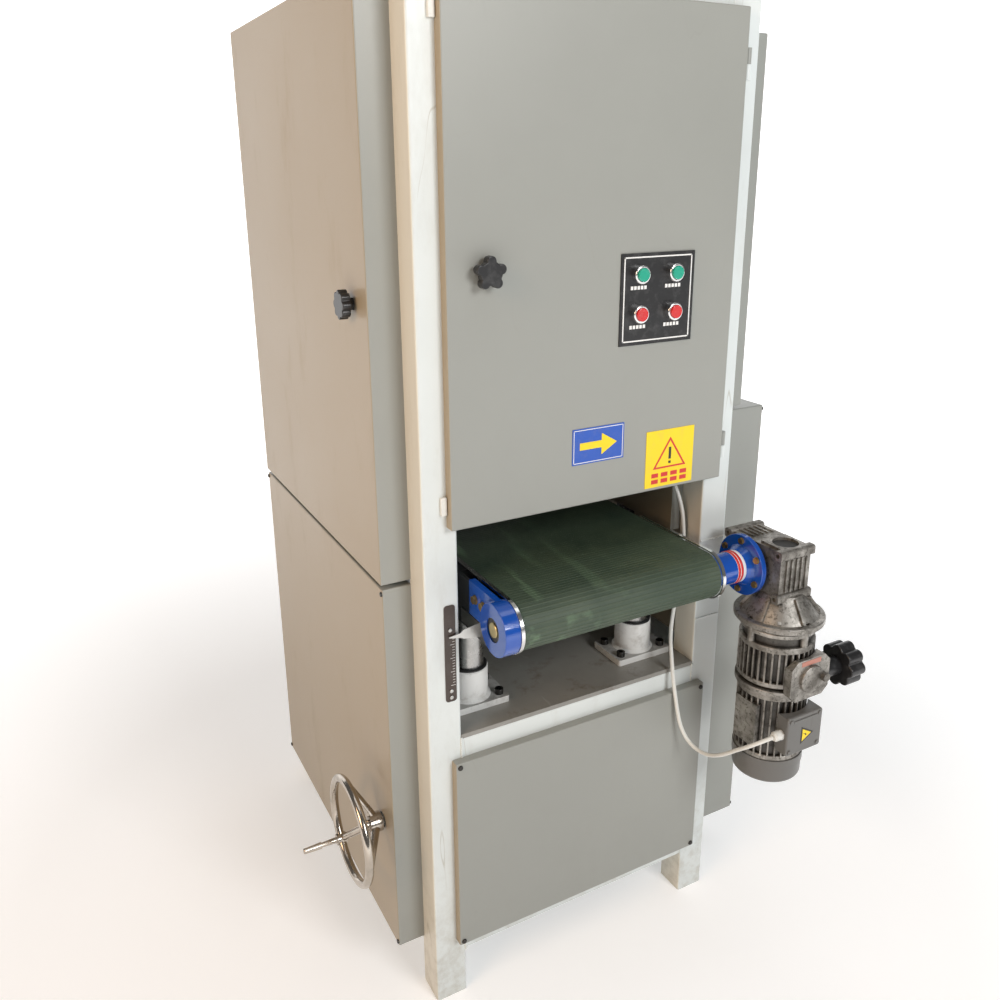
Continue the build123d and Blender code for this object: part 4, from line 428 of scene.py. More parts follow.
# %% Dress the sub-parts
DRESSED = {
    white_paint: ["corner_posts", "frame_rails", "door_hardware"],
    sleeve_enamel: ["column_sleeves"],
    grey_paint: [
        "lower_front_panel", "closing_panels", "left_lower_cover", "belt_guard", "cheek_plates", "dust_hood",
        "front_door", "left_door", "right_door",
    ],
    deck_paint: ["deck_plate"],
    # Dark grey enamel; on the bed frame under the belt its near-black colour also serves as painted shade for
    # the inside of the cabinet.
    dark_paint: ["bed_frame", "drum_bearings", "lift_gearboxes"],
    motor_paint: ["main_motor", "fan_cover", "terminal_box"],
    blue_enamel: ["bearing_arms", "drive_bracket"],
    cast_aluminium: ["gearbox_housing"],
    finned_variator: ["variator"],
    finned_motor: ["drive_motor"],
    turned_steel: [
        "sanding_drum", "motor_rotor", "handwheel_shaft", "lift_shaft", "lift_nut", "lift_screw",
        "scale_pointer",
    ],
    ground_rod: ["column_rods"],
    brassy_steel: ["drive_roller", "idler_roller"],
    polished_steel: ["bed_plate"],
    wheel_steel: ["handwheel"],
    plated_bolts: ["drive_bolts"],
    black_steel: ["frame_screws", "roller_bearings"],
    bezel_chrome: ["button_bezels"],
    green_rubber: ["conveyor_belt"],
    abrasive: ["abrasive_sleeve"],
    black_rubber: ["drive_belts", "infeed_roller", "outfeed_roller"],
    black_plastic: ["front_knob", "left_knob", "right_knob", "variator_knob"],
    white_sheath: ["cable_gland", "motor_cable"],
    green_button: ["left_start_button", "right_start_button"],
    red_button: ["left_stop_button", "right_stop_button"],
    plate_black: ["control_plate"],
    sign_blue: ["direction_sign"],
    sign_yellow: ["warning_plate"],
    scale_bronze: ["scale_plate"],
}
for material, names in DRESSED.items():
    for name in names:
        nodes[name].data.materials.clear()
        nodes[name].data.materials.append(material)
bare = set(nodes) - {name for names in DRESSED.values() for name in names}
print("dressed", len(nodes) - len(bare), "nodes; left bare:", sorted(bare))


# %% [markdown]
# ## Small plates and bars
# Labels, captions and bumpers are thin blocks with soft edges. A block is made at its true place in its
# mesh, so its object stays at the origin, and a bevel rounds its edges the way a punched plate's are.

# %% A block with eased edges
def new_piece(name, mesh, material, body):
    """Links a finished mesh as a piece that rides on a body."""
    piece = bpy.data.objects.new(name, mesh)
    bpy.context.scene.collection.objects.link(piece)
    mesh.materials.clear()
    mesh.materials.append(material)
    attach(piece, body)
    return piece


def eased_block(mesh, low, high, ease):
    """Adds a block with bevelled edges to a bmesh."""
    made = bmesh.ops.create_cube(mesh, size=1)
    for vertex in made["verts"]:
        vertex.co = Vector([low[i] + (vertex.co[i] + 0.5) * (high[i] - low[i]) for i in range(3)])
    edges = {edge for vertex in made["verts"] for edge in vertex.link_edges}
    bmesh.ops.bevel(mesh, geom=list(edges), offset=ease, segments=2, affect="EDGES", profile=0.6)


def blocks(name, boxes, ease, material, body):
    """One piece of several eased blocks; each box is a low and a high corner."""
    mesh = bmesh.new()
    for low, high in boxes:
        eased_block(mesh, low, high, ease)
    data = bpy.data.meshes.new(name)
    mesh.to_mesh(data)
    mesh.free()
    return new_piece(name, data, material, body)


def prism(mesh, outline, front, depth):
    """Adds a flat shape that faces the front: outline is x and z points, depth goes towards the viewer."""
    near = [mesh.verts.new((x, front - depth, z)) for x, z in outline]
    far = [mesh.verts.new((x, front, z)) for x, z in outline]
    mesh.faces.new(near)
    mesh.faces.new(list(reversed(far)))
    for i in range(len(outline)):
        j = (i + 1) % len(outline)
        mesh.faces.new((near[j], near[i], far[i], far[j]))


def flat_shapes(name, outlines, front, depth, material, body):
    """One piece of several flat shapes on a face that looks to the front."""
    mesh = bmesh.new()
    for outline in outlines:
        prism(mesh, outline, front, depth)
    bmesh.ops.recalc_face_normals(mesh, faces=mesh.faces)
    data = bpy.data.meshes.new(name)
    mesh.to_mesh(data)
    mesh.free()
    return new_piece(name, data, material, body)


# %% [markdown]
# ## Control plate
# The black plate and the blue sign have a thin pale border, and each button has a caption of plain dashes.
# Their places come from the boxes of the plates and buttons, so they follow if those move.

# %% Borders
INK = 0.0003


def border(low, high, inset, width):
    """Four bars just inside the edge of a plate that faces the front."""
    left, right, bottom, top = low[0] + inset, high[0] - inset, low[2] + inset, high[2] - inset
    face = low[1]
    level = [((left, face - INK, z), (right, face + INK, z + width)) for z in (bottom, top - width)]
    upright = [((x, face - INK, bottom), (x + width, face + INK, top)) for x in (left, right - width)]
    return level + upright


plate_low, plate_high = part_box("control_plate")
face = plate_low[1]
bars = border(plate_low, plate_high, 0.0055, 0.0022)
blocks("plate_border", bars, 0.0001, print_white, "front_door")
sign_low, sign_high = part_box("direction_sign")
bars = border(sign_low, sign_high, 0.0022, 0.0012)
blocks("sign_border", bars, 0.0001, print_white, "front_door")

# %% Captions
DASH = Vector((0.0048, 0.0004, 0.0058))
DASH_PITCH = 0.0066
DASHES = 5
CAPTION_DROP = 0.0105
dashes = []
for name in ("left_start_button", "right_start_button", "left_stop_button", "right_stop_button"):
    low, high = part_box(name)
    middle = (low[0] + high[0]) / 2
    for i in range(DASHES):
        x = middle + (i - (DASHES - 1) / 2) * DASH_PITCH - DASH.x / 2
        corner = Vector((x, face - DASH.y, low[2] - CAPTION_DROP - DASH.z / 2))
        dashes.append((corner, corner + Vector((DASH.x, DASH.y + INK, DASH.z))))
blocks("button_captions", dashes, 0.00015, print_white, "front_door")


# %% [markdown]
# ## Signs without words
# The blue sign shows the feed direction, so it gets a plain arrow. The yellow plate gets a red warning
# triangle over two rows of dashes. Both are drawn as raised shapes, because a shape survives export better
# than a drawing.

# %% Arrow and triangle
def box_points(low, high, points):
    """Points given as shares of a plate's width and height."""
    return [(low[0] + u * (high[0] - low[0]), low[2] + v * (high[2] - low[2])) for u, v in points]


def bar_points(u0, u1, v0, v1):
    """Corners of an upright rectangle."""
    return [(u0, v0), (u1, v0), (u1, v1), (u0, v1)]


arrow = [(0.14, 0.60), (0.56, 0.60), (0.56, 0.80), (0.86, 0.50), (0.56, 0.20), (0.56, 0.40), (0.14, 0.40)]
arrow_shape = [box_points(sign_low, sign_high, arrow)]
flat_shapes("direction_arrow", arrow_shape, sign_low[1], INK, sign_yellow, "front_door")


def triangle_ring(centre, outer, inner, first_corner):
    """Three sides of a triangle's outline; radii are pairs along the width and the height."""
    corners = [math.radians(first_corner + 120 * i) for i in range(3)]
    sides = []
    for a, b in zip(corners, corners[1:] + corners[:1]):
        side = ((outer, a), (outer, b), (inner, b), (inner, a))
        sides.append([(centre[0] + r[0] * math.cos(t), centre[1] + r[1] * math.sin(t)) for r, t in side])
    return sides


low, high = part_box("warning_plate")
sides = triangle_ring((0.5, 0.50), (0.40, 0.36), (0.335, 0.30), 90)
shapes = [box_points(low, high, side) for side in sides]
flat_shapes("warning_triangle", shapes, low[1], INK, print_red, "front_door")
mark = [bar_points(0.475, 0.525, 0.47, 0.68), bar_points(0.475, 0.525, 0.39, 0.435)]
shapes = [box_points(low, high, shape) for shape in mark]
flat_shapes("warning_mark", shapes, low[1], INK, plate_black, "front_door")
starts = (0.13, 0.33, 0.53, 0.73)
dashes = [bar_points(u, u + 0.14, v, v + 0.075) for u in starts for v in (0.06, 0.17)]
shapes = [box_points(low, high, shape) for shape in dashes]
flat_shapes("warning_dashes", shapes, low[1], INK, print_red, "front_door")
print("signs drawn")

# %% [markdown]
# ## Repeats with Geometry Nodes
# Belt ribs and weld beads each repeat one small shape. A node tree places the copies on a line or a path, so
# the count and size stay inputs. The tree ends by making the copies real and giving them their material. The
# result is then turned into a plain mesh, because instances don't export.

# %% Build a tree and turn it into a mesh
def start_tree(name, inputs):
    """An empty geometry tree with named inputs; returns the tree, its input node and its output node."""
    tree = bpy.data.node_groups.new(name, "GeometryNodeTree")
    tree.interface.new_socket("Geometry", in_out="OUTPUT", socket_type="NodeSocketGeometry")
    for label, kind in inputs:
        tree.interface.new_socket(label, in_out="INPUT", socket_type="NodeSocket" + kind)
    return tree, tree.nodes.new("NodeGroupInput"), tree.nodes.new("NodeGroupOutput")


def add_node(tree, kind, settings=None, **links):
    """Adds a geometry node; links give a socket or a value for each input."""
    node = tree.nodes.new(kind)
    for key, value in (settings or {}).items():
        setattr(node, key, value)
    for key, value in links.items():
        socket = node.inputs[key.replace("_", " ")]
        if isinstance(value, bpy.types.NodeSocket):
            tree.links.new(value, socket)
        else:
            socket.default_value = value
    return node


def end_tree(tree, instances, material, output):
    """Realize Instances and Set Material close every tree."""
    real = add_node(tree, "GeometryNodeRealizeInstances", Geometry=instances)
    painted = add_node(tree, "GeometryNodeSetMaterial", Geometry=real.outputs[0], Material=material)
    tree.links.new(painted.outputs[0], output.inputs[0])


def grow(tree, values, start_mesh=None):
    """Runs a tree on a holder object and returns the plain mesh that it makes."""
    holder = bpy.data.objects.new("holder", start_mesh or bpy.data.meshes.new("holder"))
    bpy.context.scene.collection.objects.link(holder)
    modifier = holder.modifiers.new("grow", "NODES")
    modifier.node_group = tree
    for item in tree.interface.items_tree:
        if item.item_type == "SOCKET" and item.in_out == "INPUT" and item.name in values:
            modifier[item.identifier] = values[item.name]
    holder.data.update()
    bpy.context.view_layer.update()
    graph = bpy.context.evaluated_depsgraph_get()
    mesh = bpy.data.meshes.new_from_object(holder.evaluated_get(graph))
    holder.modifiers.remove(modifier)
    bpy.data.objects.remove(holder)
    return mesh


# %% [markdown]
# ## Belt ribs
# The belt grips the board with fine ribs across it. A closed path runs round the belt's outside, a curve is
# resampled to one point for each rib, and each rib turns about X until it lies flat on the belt there. The
# ribs open and stand up where the belt bends over the front roller, and are lower and uneven on the flat
# run.

# %% Ribs round the belt
RIB_PITCH = 0.0078
RIB_WIDTH = 0.0038
RIB_HEIGHT = 0.0009
RIB_FADE = 0.17
BEND_STEPS = 36
FLAT_SHARE = 0.3
RIB_INSET = 0.003
belt_low, belt_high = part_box("conveyor_belt")
roller_radius = (belt_high[2] - belt_low[2]) / 2
roller_z = (belt_high[2] + belt_low[2]) / 2
front_y, rear_y = belt_low[1] + roller_radius, belt_high[1] - roller_radius


def belt_path():
    """Closed polyline round the belt's outside, in the plane of its middle."""
    middle = (belt_low[0] + belt_high[0]) / 2
    points = []
    for centre_y, start in ((rear_y, 90), (front_y, 270)):
        for step in range(BEND_STEPS + 1):
            angle = math.radians(start - 180 / BEND_STEPS * step)
            y = centre_y + roller_radius * math.cos(angle)
            points.append((middle, y, roller_z + roller_radius * math.sin(angle)))
    mesh = bpy.data.meshes.new("belt_path")
    count = len(points)
    mesh.from_pydata(points, [(i, (i + 1) % count) for i in range(count)], [])
    return mesh


def rib_tree():
    """Thin bars on every point of a path, turned to lie along it."""
    inputs = (
        ("Path", "Geometry"), ("Count", "Int"), ("Length", "Float"), ("Width", "Float"), ("Height", "Float"),
        ("Near", "Float"), ("Far", "Float"), ("Material", "Material"),
    )
    tree, given, output = start_tree("belt_ribs", inputs)
    curve = add_node(tree, "GeometryNodeMeshToCurve", Mesh=given.outputs["Path"])
    even = add_node(tree, "GeometryNodeResampleCurve", Curve=curve.outputs[0], Count=given.outputs["Count"])
    tangent = add_node(tree, "GeometryNodeInputTangent")
    settings = {"axis": "Y", "pivot_axis": "X"}
    turned = add_node(tree, "FunctionNodeAlignRotationToVector", settings, Vector=tangent.outputs[0])
    rib = add_node(tree, "GeometryNodeMeshCylinder", Vertices=10, Radius=1.0, Depth=1.0)
    flat = add_node(tree, "ShaderNodeCombineXYZ")
    tree.links.new(given.outputs["Height"], flat.inputs[0])
    tree.links.new(given.outputs["Width"], flat.inputs[1])
    tree.links.new(given.outputs["Length"], flat.inputs[2])
    sized = add_node(tree, "GeometryNodeTransform", Geometry=rib.outputs[0], Scale=flat.outputs[0])
    laid = add_node(tree, "GeometryNodeTransform", Geometry=sized.outputs[0], Rotation=(0, math.pi / 2, 0))
    place = add_node(tree, "GeometryNodeInputPosition")
    place = add_node(tree, "ShaderNodeSeparateXYZ", Vector=place.outputs[0])
    tall = add_node(tree, "ShaderNodeMapRange", To_Min=1.0, To_Max=FLAT_SHARE, Value=place.outputs[1])
    tree.links.new(given.outputs["Near"], tall.inputs["From Min"])
    tree.links.new(given.outputs["Far"], tall.inputs["From Max"])
    uneven = add_node(tree, "FunctionNodeRandomValue", {"data_type": "FLOAT"}, Seed=5)
    uneven.inputs[2].default_value, uneven.inputs[3].default_value = 0.55, 1.0
    height = add_node(tree, "ShaderNodeMath", {"operation": "MULTIPLY"})
    tree.links.new(tall.outputs[0], height.inputs[0])
    tree.links.new(uneven.outputs[1], height.inputs[1])
    stretch = add_node(tree, "ShaderNodeCombineXYZ", X=1.0, Y=1.0, Z=height.outputs[0])
    placed = add_node(
        tree, "GeometryNodeInstanceOnPoints", Points=even.outputs[0], Instance=laid.outputs[0],
        Rotation=turned.outputs[0], Scale=stretch.outputs[0],
    )
    end_tree(tree, placed.outputs[0], given.outputs["Material"], output)
    return tree


path_length = 2 * (rear_y - front_y) + 2 * math.pi * roller_radius
rib_values = {
    "Count": round(path_length / RIB_PITCH),
    "Length": belt_high[0] - belt_low[0] - 2 * RIB_INSET,
    "Width": RIB_WIDTH / 2,
    "Height": RIB_HEIGHT,
    "Near": front_y,
    "Far": front_y + RIB_FADE,
    "Material": green_rubber,
}
new_piece("belt_ribs", grow(rib_tree(), rib_values, belt_path()), rib_rubber, "conveyor_table")
print("ribs:", rib_values["Count"])

# %% [markdown]
# ## Weld seams
# The square tubes are joined with visible beads. A bead is a row of overlapping flattened drops. The tree
# sets drops on a straight line and makes each a little larger or smaller, with a fixed seed.

# %% Rows of drops
def row_tree():
    """Copies of a drop from one point to another, with random size."""
    inputs = (
        ("Count", "Int"), ("Start", "Vector"), ("End", "Vector"), ("Size", "Vector"), ("Uneven", "Float"),
        ("Seed", "Int"), ("Material", "Material"),
    )
    tree, given, output = start_tree("row_of_drops", inputs)
    line = add_node(
        tree, "GeometryNodeMeshLine", {"mode": "END_POINTS"}, Count=given.outputs["Count"],
        Start_Location=given.outputs["Start"],
    )
    tree.links.new(given.outputs["End"], line.inputs["Offset"])
    drop = add_node(tree, "GeometryNodeMeshIcoSphere", Radius=1.0, Subdivisions=2)
    smooth = add_node(tree, "GeometryNodeSetShadeSmooth", Geometry=drop.outputs[0])
    least = add_node(tree, "ShaderNodeMath", {"operation": "SUBTRACT"})
    least.inputs[0].default_value = 1
    tree.links.new(given.outputs["Uneven"], least.inputs[1])
    spread = add_node(tree, "FunctionNodeRandomValue", {"data_type": "FLOAT"}, Seed=given.outputs["Seed"])
    tree.links.new(least.outputs[0], spread.inputs[2])
    spread.inputs[3].default_value = 1
    sized = add_node(tree, "ShaderNodeVectorMath", {"operation": "SCALE"})
    tree.links.new(given.outputs["Size"], sized.inputs[0])
    tree.links.new(spread.outputs[1], sized.inputs["Scale"])
    placed = add_node(
        tree, "GeometryNodeInstanceOnPoints", Points=line.outputs[0], Instance=smooth.outputs[0],
        Scale=sized.outputs[0],
    )
    end_tree(tree, placed.outputs[0], given.outputs["Material"], output)
    return tree


def joined(meshes, name):
    """One mesh from several."""
    mesh = bmesh.new()
    for part in meshes:
        mesh.from_mesh(part)
    data = bpy.data.meshes.new(name)
    mesh.to_mesh(data)
    mesh.free()
    for polygon in data.polygons:
        polygon.use_smooth = True
    return data


# %% Seams on the frame
rows = row_tree()
TUBE = 0.060
BEAD = 0.0032
BEAD_PITCH = 0.0036
BEAD_FLAT = 0.62
POST_SEAMS = (0.800, 0.639)
frame_front = post_low[1]
frame_rear = post_high[1]
inner_left = post_low[0] + TUBE
inner_right = post_high[0] - TUBE


def seam(start, end, seed):
    """One bead of weld from start to end."""
    length = (Vector(end) - Vector(start)).length
    values = {
        "Count": max(4, round(length / BEAD_PITCH)), "Start": start, "End": end,
        "Size": (BEAD, BEAD * BEAD_FLAT, BEAD), "Uneven": 0.35, "Seed": seed, "Material": white_paint,
    }
    return grow(rows, values)


rail_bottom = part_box("frame_rails")[0][2]
deck_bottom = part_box("deck_plate")[0][2]
deck_rail = (deck_bottom - TUBE, deck_bottom)
base_rail = (rail_bottom, rail_bottom + TUBE)
seams = []
for y in (frame_front, frame_rear):
    for x in (inner_left, inner_right):
        for z0, z1 in (deck_rail, base_rail):
            seams.append(((x, y, z0), (x, y, z1)))
for z in POST_SEAMS:
    seams.append(((inner_right + 0.004, frame_front, z), (post_high[0] - 0.005, frame_front, z)))
seam_meshes = [seam(a, b, 11 + i) for i, (a, b) in enumerate(seams)]
new_piece("weld_seams", joined(seam_meshes, "weld_seams"), white_paint, "frame")
print("weld seams:", len(seams))

# %% [markdown]
# ## Height scale
# The bronze scale carries pale ticks, every fifth one longer. They are a loop of eased bars rather than
# copies of one shape, because two lengths are needed.

# %% Ticks on the scale
scale_low, scale_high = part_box("scale_plate")
TICK_PITCH = 0.005
TICK_WIDTH = 0.0006
LONG_TICK, SHORT_TICK = 0.008, 0.0045
BARE_FOOT, BARE_HEAD = 0.030, 0.052
tick_end = scale_high[0] - 0.002
ticks = []
first = scale_low[2] + BARE_FOOT
for i in range(int((scale_high[2] - BARE_HEAD - first) / TICK_PITCH)):
    z = first + i * TICK_PITCH
    length = LONG_TICK if i % 5 == 0 else SHORT_TICK
    ticks.append(((tick_end - length, scale_low[1] - INK, z), (tick_end, scale_low[1] + INK, z + TICK_WIDTH)))
blocks("scale_ticks", ticks, 0.0001, print_white, "frame")

# %% [markdown]
# ## Door bumpers
# Two short rubber blocks on the left post keep the front door's free edge from rattling.

# %% Bumpers
door_low, door_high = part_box("front_door")
BUMPER = Vector((0.010, 0.006, 0.030))
BUMPER_FOOT, BUMPER_HEAD = 0.038, 0.035
bumpers = []
for z in (door_low[2] + BUMPER_FOOT, door_high[2] - BUMPER_HEAD):
    corner = Vector((door_low[0] - BUMPER.x - 0.001, post_low[1] - BUMPER.y, z - BUMPER.z / 2))
    bumpers.append((corner, corner + BUMPER + Vector((0, 0.0005, 0))))
blocks("door_bumpers", bumpers, 0.0012, white_sheath, "frame")


# %% [markdown]
# ## Bands on the bracket tube and wipers on the rods
# A white ring with three red stripes is painted round the blue tube, and a black rubber wiper sits round each
# rod on top of its sleeve. Both are thin closed rings, spun from a small profile.

# %% Rings along X or upright
def ring(mesh, centre, start, end, inner_radius, outer_radius, upright=False, steps=64):
    """A closed band round an axis along X, or an upright one."""
    profile = ((start, inner_radius), (start, outer_radius), (end, outer_radius), (end, inner_radius))
    rings = []
    for step in range(steps):
        angle = 2 * math.pi * step / steps
        cos, sin = math.cos(angle), math.sin(angle)
        flat = [(centre[0] + r * cos, centre[1] + r * sin, along) for along, r in profile]
        rings.append([mesh.verts.new(p if upright else (p[2], p[0], p[1])) for p in flat])
    for step in range(steps):
        here, after = rings[step], rings[(step + 1) % steps]
        for i in range(4):
            j = (i + 1) % 4
            mesh.faces.new((here[i], here[j], after[j], after[i]))


def bands(name, rings, inner_radius, outer_radius, material, body, upright=False):
    """One piece of several bands; each ring is a centre, a start and an end."""
    mesh = bmesh.new()
    for centre, start, end in rings:
        ring(mesh, centre, start, end, inner_radius, outer_radius, upright)
    bmesh.ops.recalc_face_normals(mesh, faces=mesh.faces)
    data = bpy.data.meshes.new(name)
    mesh.to_mesh(data)
    mesh.free()
    for polygon in data.polygons:
        polygon.use_smooth = abs(polygon.normal[2 if upright else 0]) < 0.5
    return new_piece(name, data, material, body)


# %% Bands and wiper rings
bracket_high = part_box("drive_bracket")[1]
axis = (front_y, roller_z)
TUBE_RADIUS = 0.029
band_end = bracket_high[0] - 0.016
WHITE_BAND = 0.024
STRIPES = ((0.0235, 0.0185), (0.0170, 0.0120), (0.0050, 0.0010))
bands(
    "white_band", [(axis, band_end - WHITE_BAND, band_end)], TUBE_RADIUS - 0.0005, TUBE_RADIUS + 0.0003,
    print_white, "conveyor_table",
)
bands(
    "red_stripes", [(axis, band_end - a, band_end - b) for a, b in STRIPES], TUBE_RADIUS - 0.0002,
    TUBE_RADIUS + 0.0006, print_red, "conveyor_table",
)
ROD_RADIUS = 0.0275
WIPER = 0.0025
rod_low, rod_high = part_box("column_rods")
sleeve_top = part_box("column_sleeves")[1][2]
rod_centres = [
    (x, y) for x in (rod_low[0] + ROD_RADIUS, rod_high[0] - ROD_RADIUS)
    for y in (rod_low[1] + ROD_RADIUS, rod_high[1] - ROD_RADIUS)
]
bands(
    "rod_wipers", [(centre, sleeve_top - 0.0002, sleeve_top + WIPER) for centre in rod_centres],
    ROD_RADIUS + 0.0003, ROD_RADIUS + 0.0060, black_rubber, "frame", upright=True,
)

# %% [markdown]
# ## Small things on the drive
# A dark cover closes the round recess on the gearbox. Thin ribs stiffen its cone. The terminal box has a
# pressed rib and a yellow triangle on its lid, and the control block has a faded plate without words.

# %% Cover and cone ribs
gearbox_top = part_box("gearbox_housing")[1][2]
COVER_RADIUS = 0.0228
COVER_TOP = gearbox_top - 0.0045
COVER_DEPTH = 0.0036
cover = bmesh.new()
place = Matrix.Translation((drive_axis[0], drive_axis[1], COVER_TOP - COVER_DEPTH / 2))
bmesh.ops.create_cone(
    cover, cap_ends=True, segments=48, radius1=COVER_RADIUS, radius2=COVER_RADIUS, depth=COVER_DEPTH,
    matrix=place,
)
rim = [edge for edge in cover.edges if all(vertex.co.z > COVER_TOP - 0.0001 for vertex in edge.verts)]
bmesh.ops.bevel(cover, geom=rim, offset=0.0008, segments=2, affect="EDGES", profile=0.6)
cover_data = bpy.data.meshes.new("recess_cover")
cover.to_mesh(cover_data)
cover.free()
new_piece("recess_cover", cover_data, black_rubber, "conveyor_table")

CONE_RIB = (
    (0.0680, 0.7060), (0.0420, 0.7400), (0.0420, 0.7440),
    (0.0450, 0.7440), (0.0700, 0.7120), (0.0700, 0.7060),
)
RIB_HALF = 0.0017
cone_ribs = bmesh.new()
for turn_angle in range(20, 380, 60):
    angle = math.radians(turn_angle)
    out = Vector((math.cos(angle), math.sin(angle), 0))
    side = Vector((-math.sin(angle), math.cos(angle), 0))
    foot = Vector((*drive_axis, CORNER.z))
    left_side, right_side = (
        [cone_ribs.verts.new(foot + out * r + side * shift + Vector((0, 0, z))) for r, z in CONE_RIB]
        for shift in (-RIB_HALF, RIB_HALF)
    )
    cone_ribs.faces.new(left_side)
    cone_ribs.faces.new(right_side[::-1])
    for i in range(len(CONE_RIB)):
        j = (i + 1) % len(CONE_RIB)
        cone_ribs.faces.new((left_side[j], left_side[i], right_side[i], right_side[j]))
bmesh.ops.recalc_face_normals(cone_ribs, faces=cone_ribs.faces)
rib_data = bpy.data.meshes.new("cone_ribs")
cone_ribs.to_mesh(rib_data)
cone_ribs.free()
new_piece("cone_ribs", rib_data, cast_aluminium, "conveyor_table")

# %% Terminal box lid and control block
SCREW_HEAD = 0.0018
lid_low, lid_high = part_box("terminal_box")
lid_face = lid_low[1] + SCREW_HEAD
rib_corner = Vector((lid_low[0] + 0.013, lid_face - 0.0016, lid_high[2] - 0.0115))
rib_far = Vector((lid_high[0] - 0.014, lid_face + 0.0004, lid_high[2] - 0.0080))
blocks("lid_rib", [(rib_corner, rib_far)], 0.0007, motor_paint, "conveyor_table")
lid_middle = ((lid_low[0] + lid_high[0]) / 2 + 0.002, (lid_low[2] + lid_high[2]) / 2 - 0.004)


def lid_triangle(radius):
    """Triangle on the lid that points to the right."""
    corners = [math.radians(120 * i) for i in range(3)]
    return [(lid_middle[0] + radius * math.cos(t), lid_middle[1] + radius * math.sin(t)) for t in corners]


BORDER_TIP, YELLOW_TIP = 0.0205, 0.0145
shapes = [lid_triangle(BORDER_TIP)]
flat_shapes("hazard_border", shapes, lid_face, INK, plate_black, "conveyor_table")
shapes = [lid_triangle(YELLOW_TIP)]
flat_shapes("hazard_triangle", shapes, lid_face, 2 * INK, sign_yellow, "conveyor_table")
BOLT = (
    (-0.0055, 0.0030), (0.0010, 0.0022), (-0.0008, 0.0002),
    (0.0060, -0.0012), (-0.0012, -0.0018), (0.0004, 0.0004),
)
shapes = [[(lid_middle[0] + x, lid_middle[1] + z) for x, z in BOLT]]
flat_shapes("hazard_mark", shapes, lid_face, 3 * INK, plate_black, "conveyor_table")

BLOCK_FRONT = 0.075
BLOCK_TOP = 0.080
unit_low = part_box("variator")[0]
block_face = drive_axis[1] - BLOCK_FRONT
plate_corner = Vector((drive_axis[0] - 0.012, block_face - 0.0005, unit_low[2] + BLOCK_TOP - 0.0120))
plate_far = Vector((drive_axis[0] + 0.034, block_face + 0.0004, unit_low[2] + BLOCK_TOP - 0.0030))
blocks("blank_plate", [(plate_corner, plate_far)], 0.0002, faded_red, "conveyor_table")
print("drive details made")

# %% [markdown]
# ## Rivets on the height scale
# Pale domed heads cap the scale's rivets. One flat drop on each rivet is enough.

# %% Rivet caps
RIVETS = (0.628, 0.640, 0.752)
CAP_RADIUS = 0.0034
CAP_FLAT = 0.32
CAP_STAND = 0.0012
caps = bmesh.new()
scale_middle = (scale_low[0] + scale_high[0]) / 2
for height in RIVETS:
    spot = Matrix.Translation((scale_middle, scale_low[1] - CAP_STAND, CORNER.z + height))
    place = spot @ Matrix.Diagonal((1, CAP_FLAT, 1, 1))
    bmesh.ops.create_icosphere(caps, subdivisions=3, radius=CAP_RADIUS, matrix=place)
cap_data = bpy.data.meshes.new("rivet_caps")
caps.to_mesh(cap_data)
caps.free()
for polygon in cap_data.polygons:
    polygon.use_smooth = True
new_piece("rivet_caps", cap_data, turned_steel, "frame")

# %% [markdown]
# ## The motor cable
# The white cable leaves its gland, hangs in a bow beside the right post, passes up through the feed opening
# and ends at the cheek plate inside the cabinet. It is one smooth NURBS line through listed points. It
# rides on no body.

# %% Cable on a smooth line
CABLE_POINTS = [
    (577, -204, 494), (544, -190, 480), (538, -155, 450), (537, -121, 418), (533, -83, 396), (524, -45, 403),
    (512, -30, 438), (505, -25, 483), (501, -17, 531), (503, -6, 573), (511, 11, 611), (525, 24, 650),
    (540, 30, 697), (548, 32, 752), (550, 34, 812), (545, 40, 868), (532, 60, 920), (514, 80, 964),
    (507, 91, 1004), (518, 97, 1039), (551, 99, 1053),
]
CABLE_DIAMETER = 0.0075
cable_route = [CORNER + Vector(point) * MM for point in CABLE_POINTS]


def cable_curve(bevel):
    """The cable's line as a NURBS curve, with or without its thickness."""
    data = bpy.data.curves.new("cable_line", "CURVE")
    data.dimensions = "3D"
    data.resolution_u = 8
    data.bevel_depth = bevel
    data.bevel_resolution = 4
    data.use_fill_caps = True
    spline = data.splines.new("NURBS")
    spline.points.add(len(cable_route) - 1)
    for point, place in zip(spline.points, cable_route):
        point.co = (*place, 1)
    spline.order_u = 3
    spline.use_endpoint_u = True
    holder = bpy.data.objects.new("cable_line", data)
    bpy.context.scene.collection.objects.link(holder)
    bpy.context.view_layer.update()
    mesh = bpy.data.meshes.new_from_object(holder.evaluated_get(bpy.context.evaluated_depsgraph_get()))
    bpy.data.objects.remove(holder)
    return mesh


line = [vertex.co.copy() for vertex in cable_curve(0).vertices]
cable_mesh = cable_curve(CABLE_DIAMETER / 2)
for polygon in cable_mesh.polygons:
    polygon.use_smooth = True
cable = bpy.data.objects.new("white_motor_cable", cable_mesh)
bpy.context.scene.collection.objects.link(cable)
cable_mesh.materials.clear()
cable_mesh.materials.append(white_sheath)
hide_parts("motor_cable")
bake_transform(cable)

# %% [markdown]
# ## Floor and light
# A pale floor that curves up into a wall leaves no horizon line. It glows a little more with distance, so the
# surroundings stay white while the machine keeps a soft shadow. A warm lamp stands at the left, a neutral one
# in front and one above, under a dim sky. The floor is stage, not part of the object.

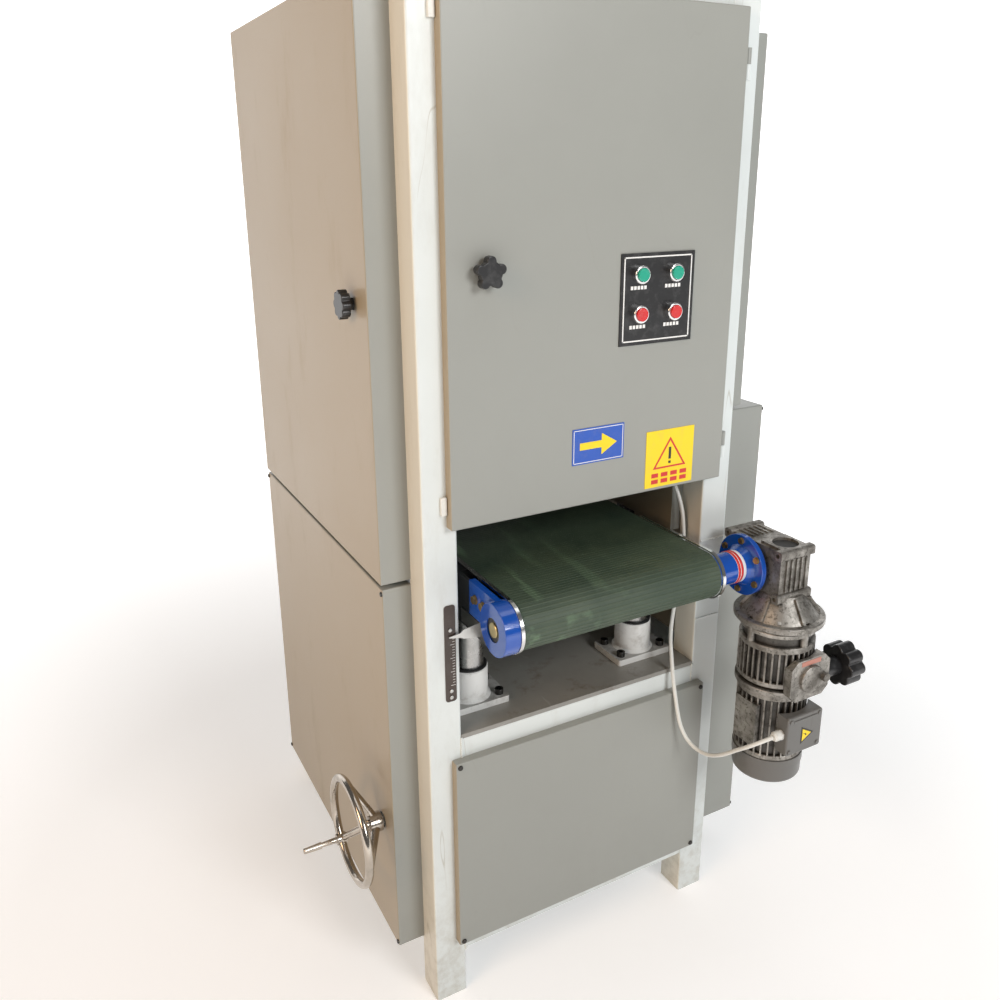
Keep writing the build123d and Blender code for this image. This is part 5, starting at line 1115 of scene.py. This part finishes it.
# %% Backdrop
def backdrop():
    """Floor that bends up into a wall well behind the machine."""
    reach, bend, height = 9.0, 2.5, 7.0
    profile = [(-reach, 0.0)]
    for step in range(13):
        angle = math.radians(7.5 * step)
        profile.append((reach - bend + bend * math.sin(angle), bend - bend * math.cos(angle)))
    profile.append((reach, height))
    toward = Matrix.Rotation(math.radians(-TURN_RIGHT), 4, "Z")
    points, faces = [], []
    for y, z in profile:
        for x in (-14, 14):
            points.append(toward @ Vector((x, y, z)))
    for i in range(len(profile) - 1):
        faces.append((2 * i, 2 * i + 1, 2 * i + 3, 2 * i + 2))
    mesh = bpy.data.meshes.new("backdrop")
    mesh.from_pydata(points, [], faces)
    floor = bpy.data.objects.new("backdrop", mesh)
    bpy.context.scene.collection.objects.link(floor)
    finish = Finish("pale_floor")
    away = finish.add("ShaderNodeVectorMath", {"operation": "LENGTH"}, {0: finish.place}, "Value")
    far = finish.ramp(away * 0.2, (0.2, 0), (0.6, 1))
    finish.put(finish.shader.inputs["Emission Color"], finish.mix(far, (0.33, 0.33, 0.33), (1.0, 1.0, 1.0)))
    finish.shader.inputs["Emission Strength"].default_value = 1.0
    mesh.materials.append(finish.surface(base=(0.80, 0.80, 0.80), rough=0.9))
    for polygon in mesh.polygons:
        polygon.use_smooth = True


backdrop()


# %% Lamps and sky
def lamp(name, place, target, size, power, colour=(1, 1, 1)):
    """Square soft lamp that looks at a target."""
    data = bpy.data.lights.new(name, "AREA")
    data.shape = "SQUARE"
    data.size = size
    data.energy = power
    data.color = colour
    light = bpy.data.objects.new(name, data)
    light.location = place
    light.rotation_euler = (Vector(target) - Vector(place)).to_track_quat("-Z", "Y").to_euler()
    bpy.context.scene.collection.objects.link(light)


MIDDLE = (0, 0, 0.9)
lamp("window_left", (-3.6, -1.4, 2.6), MIDDLE, 1.8, 66, (1, 0.70, 0.46))
lamp("lamp_front", (0.9, -4.2, 2.9), MIDDLE, 1.6, 104)
lamp("lamp_top", (0.3, -0.4, 4.6), MIDDLE, 3.0, 40)
world = bpy.data.worlds.new("sky")
world.use_nodes = True
sky = world.node_tree.nodes["Background"]
sky.inputs["Color"].default_value = (1, 1, 1, 1)
sky.inputs["Strength"].default_value = 0.14
bpy.context.scene.world = world
bpy.context.scene.view_settings.view_transform = "Standard"
bpy.context.scene.view_settings.look = "None"
print("lit")
